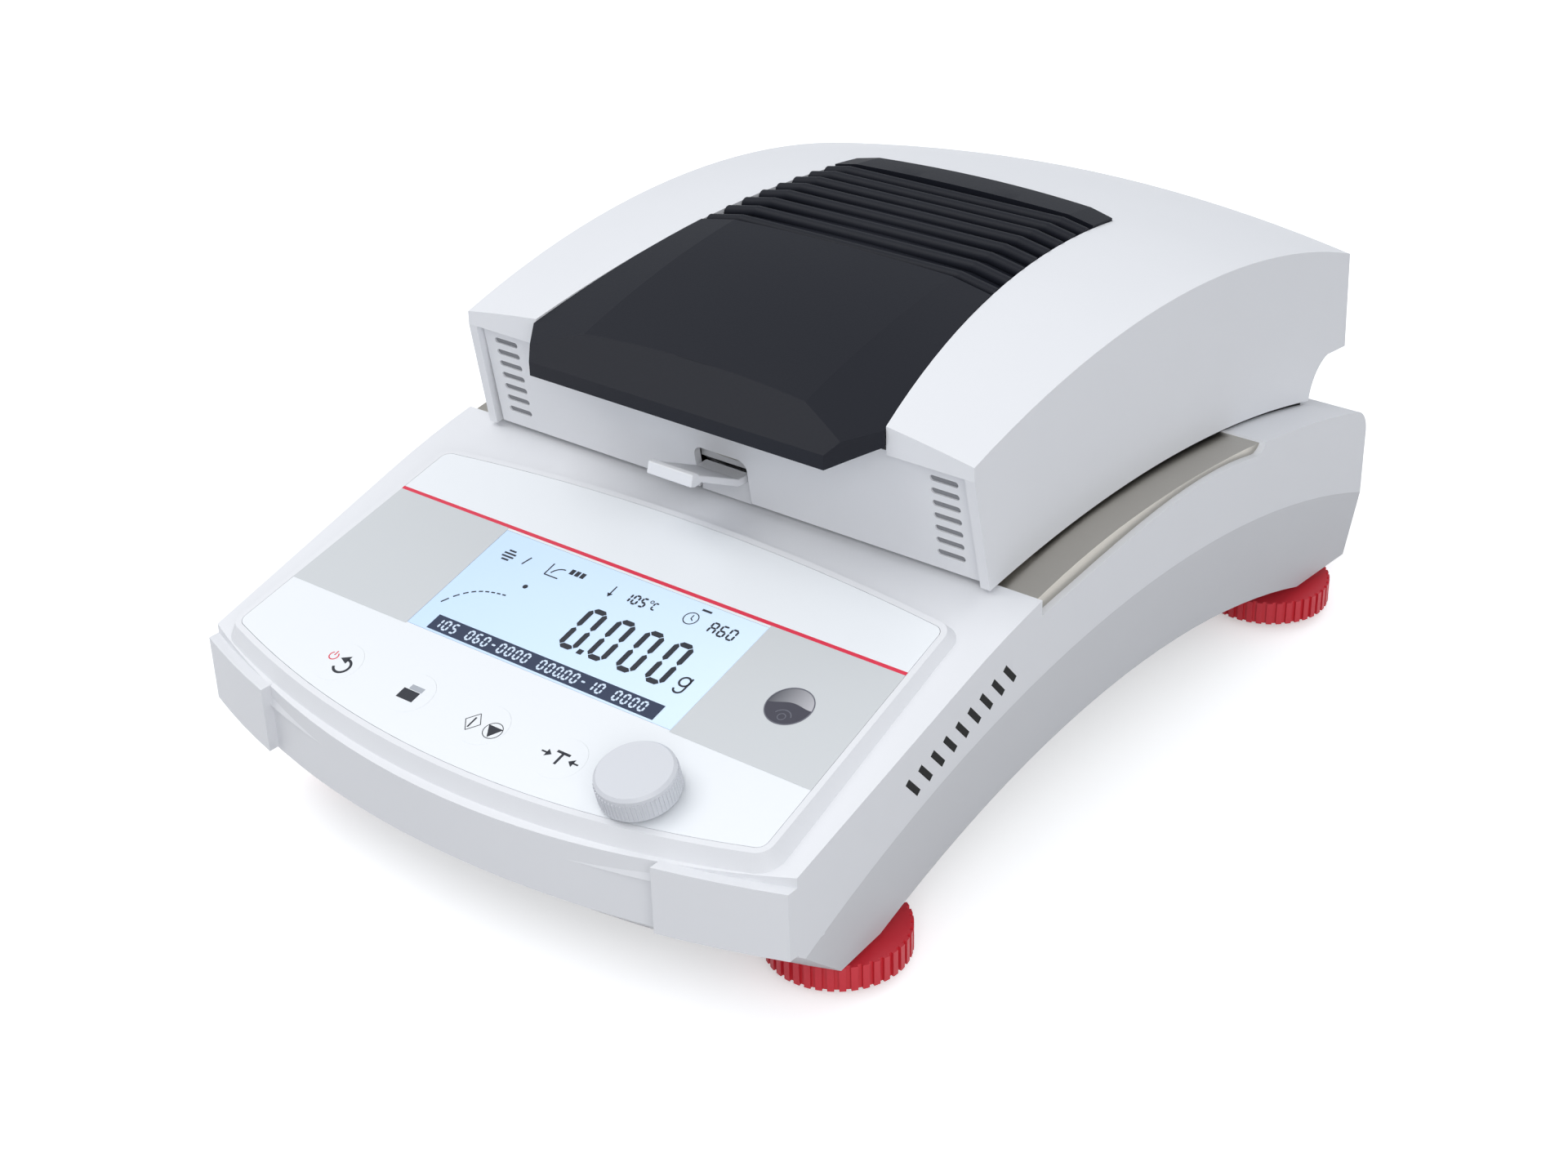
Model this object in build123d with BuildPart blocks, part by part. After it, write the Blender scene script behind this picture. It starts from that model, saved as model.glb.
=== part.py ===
from build123d import *
import os

os.makedirs("parts", exist_ok=True)

# Lengths in millimetres. X is the operator's right, Y runs to the back, Z is up from the table.
DEPTH = 321.0
HALF_WIDTH = 104.0
RUN_GAP = 0.15

# Lower and upper case
FRONT_RADIUS = 284.0
FRONT_WALL_FOOT = 34.0
FRONT_RAKE = 22.0
UNDERSIDE_Z = 14.0
ARCH_Z = 33.5
ARCH_FRONT = 60.0
ARCH_REAR = DEPTH - 36.0
LOWER_HALF_WIDTH = HALF_WIDTH - 5.5
CASE_REAR = DEPTH - 8.0
SEAM_FRONT = 20.0
SEAM_FRONT_Z = 31.0
SEAM_CREST = 177.5
SEAM_CREST_Z = 64.5
SEAM_REAR_Z = 37.9
EDGE_FRONT = 15.0
EDGE_FRONT_Z = 56.0
EDGE_SLOPE = 0.28
EDGE_RISE_END = 90.2
CASE_CREST = 173.0
CASE_CREST_Z = 88.4
CASE_HEEL = CASE_REAR - 7.0
CASE_HEEL_Z = 68.8
CASE_TAIL_Z = 60.0
CASE_WALL = 3.5
CASE_ROOF = 9.0
BUMPER_PROUD = 3.3
BUMPER_INNER = HALF_WIDTH - 34.0
BUMPER_Z = 34.7
BUMPER_HEIGHT = 19.8
SIDE_SLOTS = 9
SIDE_SLOT_FIRST = 67.0
SIDE_SLOT_PITCH = 5.4
SIDE_SLOT_LENGTH = 7.4
SIDE_SLOT_WIDTH = 2.5
SIDE_SLOT_DROP = 13.0
SIDE_SLOT_LEAN = 97

# Control panel
PANEL_ANGLE = 14.67
PANEL_REF = 60.0
PANEL_REF_Z = 72.28
OVERLAY_FRONT = -41.5
OVERLAY_BACK = 41.6
OVERLAY_FRONT_HALF = HALF_WIDTH - 10.2
OVERLAY_BACK_HALF = HALF_WIDTH - 14.2
OVERLAY_FRONT_BULGE = 14.5
OVERLAY_BACK_BULGE = 6.0
OVERLAY_THICK = 0.8
RIM = 1.9
RIM_DEPTH = 10.0
RIM_TAPER = 32.0
LCD_WIDTH = 95.0
LCD_HEIGHT = 42.4
LCD_CENTRE = 1.0
LCD_GLASS = 2.0
BOARD_DEPTH = 14.0
BOARD_THICK = 1.6
BOARD_SIZE = (2 * HALF_WIDTH - 44.0, 82.0)
BOARD_CENTRE = -8.0
BOARD_CHIPS = ((-70.0, 10.0), (66.0, 12.0))
CHIP_SIZE = (12.0, 16.0)
CHIP_HEIGHT = 5.0
KEY_RADIUS = 7.0
KEY_CAP = 2.6
KEY_TRAVEL = 0.4
KEY_ROW = -41.0
KEY_PLACES = {"power": -53.8, "print": -26.3, "start": 1.0, "tare": 28.0}
STEM_RADIUS = 3.0
SWITCH_HEIGHT = 0.6
KNOB_PLACE = (55.0, -41.0)
KNOB_RADIUS = 10.7
KNOB_HEIGHT = 7.4
KNOB_EDGE = 0.8
KNOB_TRAVEL = 0.8
KNOB_LIFT = 1.1
ENCODER_SIZE = 14.0
ENCODER_HEIGHT = 6.0
SHAFT_FIT = 0.05
PLUNGER_HEIGHT = 1.5
LEVEL_PLACE = (70.3, 0.6)
LEVEL_RADIUS = 7.0
LEVEL_DEPTH = 4.8

# Drying chamber
DECK_FRONT = 125.0
DECK_REAR = 245.5
DECK_HALF = HALF_WIDTH - 2.0
DECK_FRONT_Z = 80.0
DECK_LOW = (160.5, 83.3)
DECK_HIGH = (197.0, 85.0)
DECK_REAR_Z = 80.2
DECK_END_RADIUS = 6.0
DECK_TOP_DROP = 0.7
CHAMBER = 184.0
BOWL_RADIUS = 57.0
BOWL_FLOOR_Z = 71.0
SHEET = 1.5
PAN_RADIUS = 45.0
PAN_Z = 80.0
PAN_DEPTH = 5.5
PAN_SHEET = 0.6
SUPPORT_Z = 76.0
SHAFT_RADIUS = 2.5
HANDLER_RING = 49.0
TAB_WIDTH = 16.0
TAB_SLOT_Z = 82.0
TAB_BEND_Z = 86.6
TAB_TIP = 98.0
TAB_TIP_Z = 96.0
RING_THICK = 2.0
SHIELD_THICK = 3.0
SUPPORT_ARM = 36.0
PAN_REST_GAP = 0.1
CELL_SIZE = (46.0, 70.0, 18.0)
CELL_Z = 44.0
CHASSIS_FRONT = 136.0
CHASSIS_REAR = DEPTH - 35.0
CHASSIS_WIDTH = 84.0
SUPPLY_SIZE = (76.0, 44.0, 17.0)

# Hood
HOOD_ARC = 320.0
HOOD_ARC_CREST = 203.0
HOOD_EDGE_Z = 136.0
HOOD_CROWN = 7.5
HOOD_TOP_HALF = HALF_WIDTH - 14.5
HOOD_FOOT_HALF = HALF_WIDTH - 12.7
HOOD_WALL = 3.0
LIP = 114.1
LIP_Z = 119.3
HOOD_FRONT_FOOT = 120.2
HOOD_REAR_Z = 82.5
HOOD_FOOT_Z = (85.3, 87.6, 72.7)
HOOD_FOOT_CREST = 213.0
NOTCH_FRONT = DEPTH - 24.0
NOTCH_REAR = DEPTH - 12.0
NOTCH_REAR_Z = 84.0
COVER_THICK = 4.6
COVER_EDGE_DROP = 3.4
COVER_PROUD = 0.3
COVER_NOSE = 100.0
COVER_NOSE_HALF = 52.0
COVER_LIP_HALF = 61.9
COVER_MID_HALF = 51.5
COVER_MID = 180.0
COVER_REAR_HALF = 47.0
COVER_REAR = 248.0
COVER_CREASE_HALF = 39.0
COVER_CENTRE_RISE = 0.8
COVER_FLANK_DROP = 5.0
COVER_SKIN = 4.2
COVER_RIM = 3.0
BROW_DEPTH = 11.0
BROW_DROP = 5.2
RIB_COUNT = 8
RIB_PITCH = 7.5
RIB_ZONE = 176.8
RIB_RADIUS = 1.9
GROOVE_DEPTH = 2.7
PANEL_THICK = 2.5
VENT_COUNT = 7
VENT_PITCH = 3.9
VENT_TOP_Z = 115.0
VENT_PLACE = HOOD_TOP_HALF - 11.5
VENT_WIDTH = 1.8
VENT_LENGTH = 9.0
NOTCH_WIDTH = 19.0
NOTCH_TOP_Z = 100.0
HINGE = DEPTH - 16.5
HINGE_Z = 61.0
PIN_RADIUS = 2.5
EYE_RADIUS = 6.5
ARM_PLACE = 60.0
ARM_THICK = 9.4
ARM_TOP_Z = 100.0
HINGE_BLOCK_Z = 20.0
HINGE_BLOCK_TOP = 64.7
HINGE_BLOCK_WIDTH = 23.4
GLASS_Z = 100.0
GLASS_THICK = 2.0
GLASS_RADIUS = 55.0
FRAME_HALF = HOOD_TOP_HALF - 2.5
REFLECTOR_Z = 117.0
REFLECTOR_RADIUS = 56.0
LAMP_Z = 108.0
LAMP_RADIUS = 5.0
LAMP_RING = 36.0

# Feet
FOOT_X = HALF_WIDTH - 20.0
FOOT_FRONT = 61.0
FOOT_REAR = DEPTH - 29.0
WHEEL_RADIUS = 20.0
WHEEL_TOP = 11.0
WHEEL_THICK = 7.5
PAD_RADIUS = 13.0
PAD_HEIGHT = 3.2
STUD_RADIUS = 3.0
STUD_TOP = 26.0
WHEEL_NOTCHES = 40
WHEEL_NOTCH_WIDTH = 1.3
WHEEL_NOTCH_DEPTH = 0.9

# Sockets on the back
SOCKET_PLATE_HALF = HALF_WIDTH - 12.0
SOCKET_PLATE_Z = (18.0, 49.0)
INLET_PLACE = -20.0
INLET_SIZE = (27.0, 20.0)
SERIAL_PLACE = 20.0
USB_PLACE = 39.5


def along(distance):
    """Y of a point given by its distance behind the foremost point of the front."""
    return distance - DEPTH / 2


def edge_z(distance):
    """Height of the straight part of the upper case's side edge."""
    return EDGE_FRONT_Z + EDGE_SLOPE * (distance - EDGE_FRONT)


panel_plane = Plane(
    origin=(0, along(PANEL_REF), PANEL_REF_Z),
    x_dir=(1, 0, 0),
    z_dir=Vector(0, 0, 1).rotate(Axis.X, PANEL_ANGLE),
)


def top_edge(wall, roof):
    """Upper side edge of the case: a straight rise, two arcs and a rounded heel."""
    nose = -5
    rise = Line(
        (along(nose), edge_z(nose) - roof),
        (along(EDGE_RISE_END), edge_z(EDGE_RISE_END) - roof),
    )
    crest = TangentArc(rise @ 1, (along(CASE_CREST), CASE_CREST_Z - roof), tangent=rise % 1)
    fall = TangentArc(crest @ 1, (along(CASE_HEEL), CASE_HEEL_Z - roof), tangent=crest % 1)
    heel = TangentArc(fall @ 1, (along(CASE_REAR) - wall, CASE_TAIL_Z - roof), tangent=fall % 1)
    return rise @ 0, heel @ 1


def seam_arc():
    """Arched line where the upper case sits on the lower one."""
    return ThreePointArc(
        (along(SEAM_FRONT), SEAM_FRONT_Z),
        (along(SEAM_CREST), SEAM_CREST_Z),
        (along(CASE_REAR), SEAM_REAR_Z),
    )


def front_envelope(inset):
    """Body of revolution that gives the front its round plan and raked lower edge."""
    radius = FRONT_RADIUS - inset
    foot = FRONT_WALL_FOOT + inset
    rake = FRONT_RAKE / (FRONT_WALL_FOOT - UNDERSIDE_Z)
    with BuildPart() as envelope:
        with BuildSketch(Plane((0, along(FRONT_RADIUS), 0), (1, 0, 0), (0, -1, 0))):
            Polygon((0, 0), (radius - rake * foot, 0), (radius, foot), (radius, 110), (0, 110), align=None)
        revolve(axis=Axis((0, along(FRONT_RADIUS), 0), (0, 0, 1)))
    return envelope.part


def overlay_outline(margin):
    """Outline of the panel's printed sheet on the panel plane, grown by a margin."""
    with BuildSketch() as outline:
        with BuildLine():
            front_right = (OVERLAY_FRONT_HALF, OVERLAY_FRONT)
            front_left = (-OVERLAY_FRONT_HALF, OVERLAY_FRONT)
            back_right = (OVERLAY_BACK_HALF, OVERLAY_BACK)
            back_left = (-OVERLAY_BACK_HALF, OVERLAY_BACK)
            ThreePointArc(front_left, (0, OVERLAY_FRONT - OVERLAY_FRONT_BULGE), front_right)
            Line(front_right, back_right)
            ThreePointArc(back_right, (0, OVERLAY_BACK + OVERLAY_BACK_BULGE), back_left)
            Line(back_left, front_left)
        make_face()
        fillet(outline.vertices(), 3)
        if margin:
            offset(amount=margin)
    return outline.sketch


def deck_edge():
    """Side outline of the deck's recess, which ends in a round corner behind the hood."""
    open_z = CASE_CREST_Z + 12
    with BuildLine() as edge:
        low = Spline(
            (along(DECK_FRONT), DECK_FRONT_Z),
            (along(DECK_LOW[0]), DECK_LOW[1]),
            (along(DECK_HIGH[0]), DECK_HIGH[1]),
            (along(DECK_REAR - DECK_END_RADIUS), DECK_REAR_Z),
        )
        end = TangentArc(
            low @ 1, (along(DECK_REAR), DECK_REAR_Z + 0.8 * DECK_END_RADIUS), tangent=low % 1
        )
        Polyline(end @ 1, (along(DECK_REAR), open_z), (along(DECK_FRONT), open_z), low @ 0)
    return edge.line


# Upper case: arched block with a round front, corner bumpers and a raised panel frame
with BuildPart() as upper_cavity:
    with BuildSketch(Plane.YZ):
        with BuildLine():
            start, finish = top_edge(CASE_WALL, CASE_ROOF)
            Line(finish, (finish.X, 0))
            Line((finish.X, 0), (start.X, 0))
            Line((start.X, 0), start)
        make_face()
    extrude(amount=HALF_WIDTH - CASE_WALL, both=True)
    add(front_envelope(CASE_WALL), mode=Mode.INTERSECT)

with BuildPart() as upper_housing:
    with BuildSketch(Plane.YZ):
        with BuildLine():
            start, finish = top_edge(0, 0)
            seam = seam_arc()
            Line(finish, seam @ 1)
            Line(seam @ 0, (start.X, SEAM_FRONT_Z))
            Line((start.X, SEAM_FRONT_Z), start)
        make_face()
    extrude(amount=HALF_WIDTH, both=True)
    add(front_envelope(0), mode=Mode.INTERSECT)
    with BuildSketch(panel_plane):
        add(overlay_outline(RIM))
    extrude(amount=-RIM_DEPTH, taper=-RIM_TAPER)
    with BuildSketch(Plane.XY.offset(BUMPER_Z)) as bumper_plan:
        with Locations((0, along(FRONT_RADIUS))):
            Circle(FRONT_RADIUS + BUMPER_PROUD)
        span = HALF_WIDTH - BUMPER_INNER
        with Locations(
            ((HALF_WIDTH + BUMPER_INNER) / 2, along(EDGE_FRONT)),
            (-(HALF_WIDTH + BUMPER_INNER) / 2, along(EDGE_FRONT)),
        ):
            Rectangle(span, 30, mode=Mode.INTERSECT)
    extrude(amount=BUMPER_HEIGHT)
    add(upper_cavity.part, mode=Mode.SUBTRACT)
    with BuildSketch(panel_plane.offset(-OVERLAY_THICK)):
        add(overlay_outline(RUN_GAP))
    extrude(amount=5, mode=Mode.SUBTRACT)
    with BuildSketch(panel_plane) as panel_openings:
        with Locations((0, LCD_CENTRE)):
            Rectangle(LCD_WIDTH + 2 * RUN_GAP, LCD_HEIGHT + 2 * RUN_GAP)
        with Locations([(place, KEY_ROW) for place in KEY_PLACES.values()]):
            Circle(STEM_RADIUS + RUN_GAP)
        with Locations(KNOB_PLACE):
            Circle(STEM_RADIUS + RUN_GAP)
    extrude(amount=-BOARD_DEPTH - 4, mode=Mode.SUBTRACT)
    with BuildSketch(panel_plane):
        with Locations([(place, KEY_ROW) for place in KEY_PLACES.values()]):
            Circle(KEY_RADIUS + RUN_GAP)
    extrude(amount=-OVERLAY_THICK - KEY_CAP - KEY_TRAVEL, mode=Mode.SUBTRACT)
    with BuildSketch(panel_plane):
        with Locations(LEVEL_PLACE):
            Circle(LEVEL_RADIUS + RUN_GAP)
    extrude(amount=-LEVEL_DEPTH, mode=Mode.SUBTRACT)
    with BuildSketch(panel_plane.offset(-BOARD_DEPTH - 4)):
        with Locations(KNOB_PLACE):
            Rectangle(ENCODER_SIZE + 2 * RUN_GAP, ENCODER_SIZE + 2 * RUN_GAP)
    extrude(amount=4 + BOARD_DEPTH / 2, mode=Mode.SUBTRACT)
    with BuildSketch(Plane.YZ):
        with BuildLine():
            add(deck_edge())
        make_face()
    extrude(amount=HALF_WIDTH + 1, both=True, mode=Mode.SUBTRACT)
    with BuildSketch(Plane.XY.offset(UNDERSIDE_Z)):
        with Locations((0, along(CHAMBER))):
            Circle(BOWL_RADIUS + SHEET + 1)
    extrude(amount=100, mode=Mode.SUBTRACT)
    with BuildSketch(Plane.YZ.offset(HALF_WIDTH - CASE_WALL - 1)):
        for slot in range(SIDE_SLOTS):
            place = SIDE_SLOT_FIRST + slot * SIDE_SLOT_PITCH
            with Locations((along(place), edge_z(place) - SIDE_SLOT_DROP)):
                SlotOverall(SIDE_SLOT_LENGTH, SIDE_SLOT_WIDTH, rotation=SIDE_SLOT_LEAN)
    slots = extrude(amount=CASE_WALL + 3, mode=Mode.SUBTRACT)
    mirror(slots, about=Plane.YZ, mode=Mode.SUBTRACT)
    hinge_slot_foot = HINGE_Z - EYE_RADIUS - 1.5
    with BuildSketch(Plane.XY.offset(hinge_slot_foot)):
        with Locations((ARM_PLACE, along(HINGE)), (-ARM_PLACE, along(HINGE))):
            Rectangle(ARM_THICK + 0.8, 2 * (EYE_RADIUS + 2.2))
    extrude(amount=40, mode=Mode.SUBTRACT)
    with BuildSketch(Plane.XZ.offset(-along(CASE_REAR) - 1)):
        with Locations((0, sum(SOCKET_PLATE_Z) / 2)):
            Rectangle(
                2 * (SOCKET_PLATE_HALF + RUN_GAP), SOCKET_PLATE_Z[1] - SOCKET_PLATE_Z[0] + 2 * RUN_GAP
            )
    extrude(amount=CASE_WALL + 2, mode=Mode.SUBTRACT)
    with BuildSketch(Plane.XY.offset(SEAM_REAR_Z)):
        with Locations((ARM_PLACE, along(HINGE) - 1), (-ARM_PLACE, along(HINGE) - 1)):
            Rectangle(HINGE_BLOCK_WIDTH + 2 * RUN_GAP, 2 * EYE_RADIUS + 2 * RUN_GAP)
    extrude(amount=HINGE_BLOCK_TOP + RUN_GAP - SEAM_REAR_Z, mode=Mode.SUBTRACT)
upper_housing.part.label = "base_upper_housing"
export_step(upper_housing.part, "parts/base_upper_housing.step")

# Lower case: a tray whose sides narrow from the seam down to the arched underside
with BuildPart() as tray_cavity:
    floor_z = UNDERSIDE_Z + CASE_WALL
    with BuildSketch(Plane.YZ):
        with BuildLine():
            front_floor = Line((along(0), floor_z), (along(ARCH_FRONT), floor_z))
            arch = ThreePointArc(
                front_floor @ 1,
                (along((ARCH_FRONT + ARCH_REAR) / 2), ARCH_Z + CASE_WALL),
                (along(ARCH_REAR), floor_z),
            )
            Polyline(
                arch @ 1,
                (along(CASE_REAR) - CASE_WALL, floor_z),
                (along(CASE_REAR) - CASE_WALL, 80),
                (along(0), 80),
                front_floor @ 0,
            )
        make_face()
    extrude(amount=LOWER_HALF_WIDTH - CASE_WALL, both=True)
    add(front_envelope(CASE_WALL), mode=Mode.INTERSECT)


def flank_envelope():
    """Conical flanks: full width along the seam, narrowing towards the seam arc's centre."""
    with BuildLine(mode=Mode.PRIVATE):
        seam = seam_arc()
    centre = Vector(0, seam.arc_center.X, seam.arc_center.Y)
    lean = (HALF_WIDTH - LOWER_HALF_WIDTH) / (SEAM_CREST_Z - ARCH_Z)
    reach = 70
    foot_half = HALF_WIDTH - lean * reach
    with BuildPart() as envelope:
        with BuildSketch(Plane(centre, (1, 0, 0), (0, -1, 0))):
            Polygon(
                (-foot_half, seam.radius - reach),
                (foot_half, seam.radius - reach),
                (HALF_WIDTH, seam.radius),
                (HALF_WIDTH, seam.radius + 30),
                (-HALF_WIDTH, seam.radius + 30),
                (-HALF_WIDTH, seam.radius),
                align=None,
            )
        revolve(axis=Axis(centre, (1, 0, 0)))
    return envelope.part


with BuildPart() as lower_housing:
    with BuildSketch(Plane.YZ):
        with BuildLine():
            seam = seam_arc()
            arch = ThreePointArc(
                (along(ARCH_FRONT), UNDERSIDE_Z),
                (along((ARCH_FRONT + ARCH_REAR) / 2), ARCH_Z),
                (along(ARCH_REAR), UNDERSIDE_Z),
            )
            Polyline(arch @ 1, (along(CASE_REAR), UNDERSIDE_Z), seam @ 1)
            Polyline(seam @ 0, (along(-5), SEAM_FRONT_Z), (along(-5), UNDERSIDE_Z), arch @ 0)
        make_face()
    extrude(amount=HALF_WIDTH, both=True)
    add(flank_envelope(), mode=Mode.INTERSECT)
    add(front_envelope(0), mode=Mode.INTERSECT)
    add(tray_cavity.part, mode=Mode.SUBTRACT)
    feet = [
        (FOOT_X, along(FOOT_FRONT)),
        (-FOOT_X, along(FOOT_FRONT)),
        (FOOT_X, along(FOOT_REAR)),
        (-FOOT_X, along(FOOT_REAR)),
    ]
    with BuildSketch(Plane.XY.offset(UNDERSIDE_Z)):
        with Locations(feet):
            Circle(STUD_RADIUS + 4)
    extrude(amount=STUD_TOP + 3 - UNDERSIDE_Z)
    with BuildSketch(Plane.XY.offset(UNDERSIDE_Z)):
        with Locations(feet):
            Circle(STUD_RADIUS + 0.05)
    extrude(amount=STUD_TOP + 1 - UNDERSIDE_Z, mode=Mode.SUBTRACT)
    with BuildSketch(Plane.XZ.offset(-along(CASE_REAR) - 1)):
        with Locations((0, sum(SOCKET_PLATE_Z) / 2)):
            Rectangle(
                2 * (SOCKET_PLATE_HALF + RUN_GAP), SOCKET_PLATE_Z[1] - SOCKET_PLATE_Z[0] + 2 * RUN_GAP
            )
    extrude(amount=CASE_WALL + 2, mode=Mode.SUBTRACT)
lower_housing.part.label = "base_lower_housing"
export_step(lower_housing.part, "parts/base_lower_housing.step")


def panel_piece(depth):
    """Sketch plane on the control panel, a given depth below its surface."""
    return panel_plane.offset(-depth)


# Control panel: printed sheet, display, level, keys, knob and the board behind them
with BuildPart() as overlay:
    with BuildSketch(panel_piece(OVERLAY_THICK)):
        add(overlay_outline(0))
        with Locations((0, LCD_CENTRE)):
            Rectangle(LCD_WIDTH, LCD_HEIGHT, mode=Mode.SUBTRACT)
        with Locations([(place, KEY_ROW) for place in KEY_PLACES.values()]):
            Circle(KEY_RADIUS + RUN_GAP, mode=Mode.SUBTRACT)
        with Locations(KNOB_PLACE):
            Circle(STEM_RADIUS + RUN_GAP, mode=Mode.SUBTRACT)
        with Locations(LEVEL_PLACE):
            Circle(LEVEL_RADIUS + RUN_GAP, mode=Mode.SUBTRACT)
    extrude(amount=OVERLAY_THICK)
overlay.part.label = "panel_overlay"
export_step(overlay.part, "parts/panel_overlay.step")

with BuildPart() as lcd_window:
    with BuildSketch(panel_piece(LCD_GLASS)):
        with Locations((0, LCD_CENTRE)):
            Rectangle(LCD_WIDTH - 2 * RUN_GAP, LCD_HEIGHT - 2 * RUN_GAP)
    extrude(amount=LCD_GLASS)
lcd_window.part.label = "lcd_window"
export_step(lcd_window.part, "parts/lcd_window.step")

with BuildPart() as lcd_module:
    with BuildSketch(panel_piece(BOARD_DEPTH)):
        with Locations((0, LCD_CENTRE)):
            Rectangle(LCD_WIDTH - 1, LCD_HEIGHT - 1)
    extrude(amount=BOARD_DEPTH - LCD_GLASS)
lcd_module.part.label = "lcd_module"
export_step(lcd_module.part, "parts/lcd_module.step")

with BuildPart() as level_vial:
    with BuildSketch(panel_piece(LEVEL_DEPTH)):
        with Locations(LEVEL_PLACE):
            Circle(LEVEL_RADIUS)
    extrude(amount=LEVEL_DEPTH)
level_vial.part.label = "level_vial"
export_step(level_vial.part, "parts/level_vial.step")

with BuildPart() as main_board:
    with BuildSketch(panel_piece(BOARD_DEPTH + BOARD_THICK)):
        with Locations((0, BOARD_CENTRE)):
            Rectangle(*BOARD_SIZE)
    extrude(amount=BOARD_THICK)
    with BuildSketch(panel_piece(BOARD_DEPTH)):
        with Locations([(place, KEY_ROW) for place in KEY_PLACES.values()]):
            Circle(STEM_RADIUS - 0.2)
    extrude(amount=SWITCH_HEIGHT)
    with BuildSketch(panel_piece(BOARD_DEPTH + BOARD_THICK + CHIP_HEIGHT)):
        with Locations(BOARD_CHIPS):
            Rectangle(*CHIP_SIZE)
    extrude(amount=CHIP_HEIGHT)
main_board.part.label = "main_board"
export_step(main_board.part, "parts/main_board.step")

with BuildPart() as encoder_body:
    with BuildSketch(panel_piece(BOARD_DEPTH)):
        with Locations(KNOB_PLACE):
            Rectangle(ENCODER_SIZE, ENCODER_SIZE)
    extrude(amount=ENCODER_HEIGHT)
    with BuildSketch(panel_piece(BOARD_DEPTH - 1)):
        with Locations(KNOB_PLACE):
            Circle(STEM_RADIUS + SHAFT_FIT)
    extrude(amount=ENCODER_HEIGHT, mode=Mode.SUBTRACT)
encoder_body.part.label = "encoder_body"
export_step(encoder_body.part, "parts/encoder_body.step")

plunger_foot = BOARD_DEPTH - 1 - KNOB_TRAVEL - 0.3
with BuildPart() as encoder_plunger:
    with BuildSketch(panel_piece(plunger_foot)):
        with Locations(KNOB_PLACE):
            Circle(STEM_RADIUS)
    extrude(amount=PLUNGER_HEIGHT)
encoder_plunger.part.label = "encoder_plunger"
export_step(encoder_plunger.part, "parts/encoder_plunger.step")

with BuildPart() as control_knob:
    with BuildSketch(panel_piece(plunger_foot - PLUNGER_HEIGHT - 0.1)):
        with Locations(KNOB_PLACE):
            Circle(STEM_RADIUS)
    extrude(amount=plunger_foot - PLUNGER_HEIGHT - 0.1 + KNOB_LIFT + KNOB_TRAVEL)
    with BuildSketch(panel_plane.offset(KNOB_LIFT)):
        with Locations(KNOB_PLACE):
            Circle(KNOB_RADIUS)
    extrude(amount=KNOB_HEIGHT - KNOB_EDGE)
    with BuildSketch(panel_plane.offset(KNOB_LIFT + KNOB_HEIGHT - KNOB_EDGE)):
        with Locations(KNOB_PLACE):
            Circle(KNOB_RADIUS)
    extrude(amount=KNOB_EDGE, taper=45)
control_knob.part.label = "control_knob"
export_step(control_knob.part, "parts/control_knob.step")

for key, place in KEY_PLACES.items():
    with BuildPart() as key_button:
        with BuildSketch(panel_piece(KEY_CAP)):
            with Locations((place, KEY_ROW)):
                Circle(KEY_RADIUS)
        extrude(amount=KEY_CAP)
        with BuildSketch(panel_piece(BOARD_DEPTH - SWITCH_HEIGHT - KEY_TRAVEL - 0.05)):
            with Locations((place, KEY_ROW)):
                Circle(STEM_RADIUS)
        extrude(amount=BOARD_DEPTH - SWITCH_HEIGHT - KEY_TRAVEL - 0.05 - KEY_CAP)
    key_button.part.label = f"key_{key}"
    export_step(key_button.part, f"parts/key_{key}.step")

# Drying chamber: deck sheet with its bowl, heat shield, pan support, pan handler and sample pan
chamber_place = (0, along(CHAMBER))
with BuildPart() as chamber_liner:
    with BuildSketch(Plane.YZ):
        with BuildLine():
            add(deck_edge())
        make_face()
    extrude(amount=DECK_HALF, both=True)
    with BuildSketch(Plane.YZ) as deck_limit:
        with BuildLine():
            top_line, top_end = top_edge(0, DECK_TOP_DROP)
            Line(top_end, (top_end.X, 0))
            Line((top_end.X, 0), (top_line.X, 0))
            Line((top_line.X, 0), top_line)
        make_face()
    extrude(amount=DECK_HALF + 5, both=True, mode=Mode.INTERSECT)
    with BuildSketch(Plane.XY.offset(BOWL_FLOOR_Z - SHEET)):
        with Locations(chamber_place):
            Circle(BOWL_RADIUS + SHEET)
    extrude(amount=80.5 - BOWL_FLOOR_Z + SHEET)
    with BuildSketch(Plane.XY.offset(BOWL_FLOOR_Z)):
        with Locations(chamber_place):
            Circle(BOWL_RADIUS)
    extrude(amount=40, mode=Mode.SUBTRACT)
    with BuildSketch(Plane.XY.offset(BOWL_FLOOR_Z - 5)):
        with Locations(chamber_place):
            Circle(SHAFT_RADIUS + 1.5)
    extrude(amount=10, mode=Mode.SUBTRACT)
    with BuildSketch(Plane.XY.offset(TAB_SLOT_Z)):
        with Locations((0, along(DECK_FRONT) + 5)):
            Rectangle(TAB_WIDTH + 4, 40)
    extrude(amount=20, mode=Mode.SUBTRACT)
chamber_liner.part.label = "chamber_liner"
export_step(chamber_liner.part, "parts/chamber_liner.step")

with BuildPart() as heat_shield:
    with BuildSketch(Plane.XY.offset(BOWL_FLOOR_Z - SHEET - SHIELD_THICK)):
        with Locations(chamber_place):
            Circle(BOWL_RADIUS)
            Circle(SHAFT_RADIUS + 2, mode=Mode.SUBTRACT)
    extrude(amount=SHIELD_THICK)
heat_shield.part.label = "heat_shield"
export_step(heat_shield.part, "parts/heat_shield.step")

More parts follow.
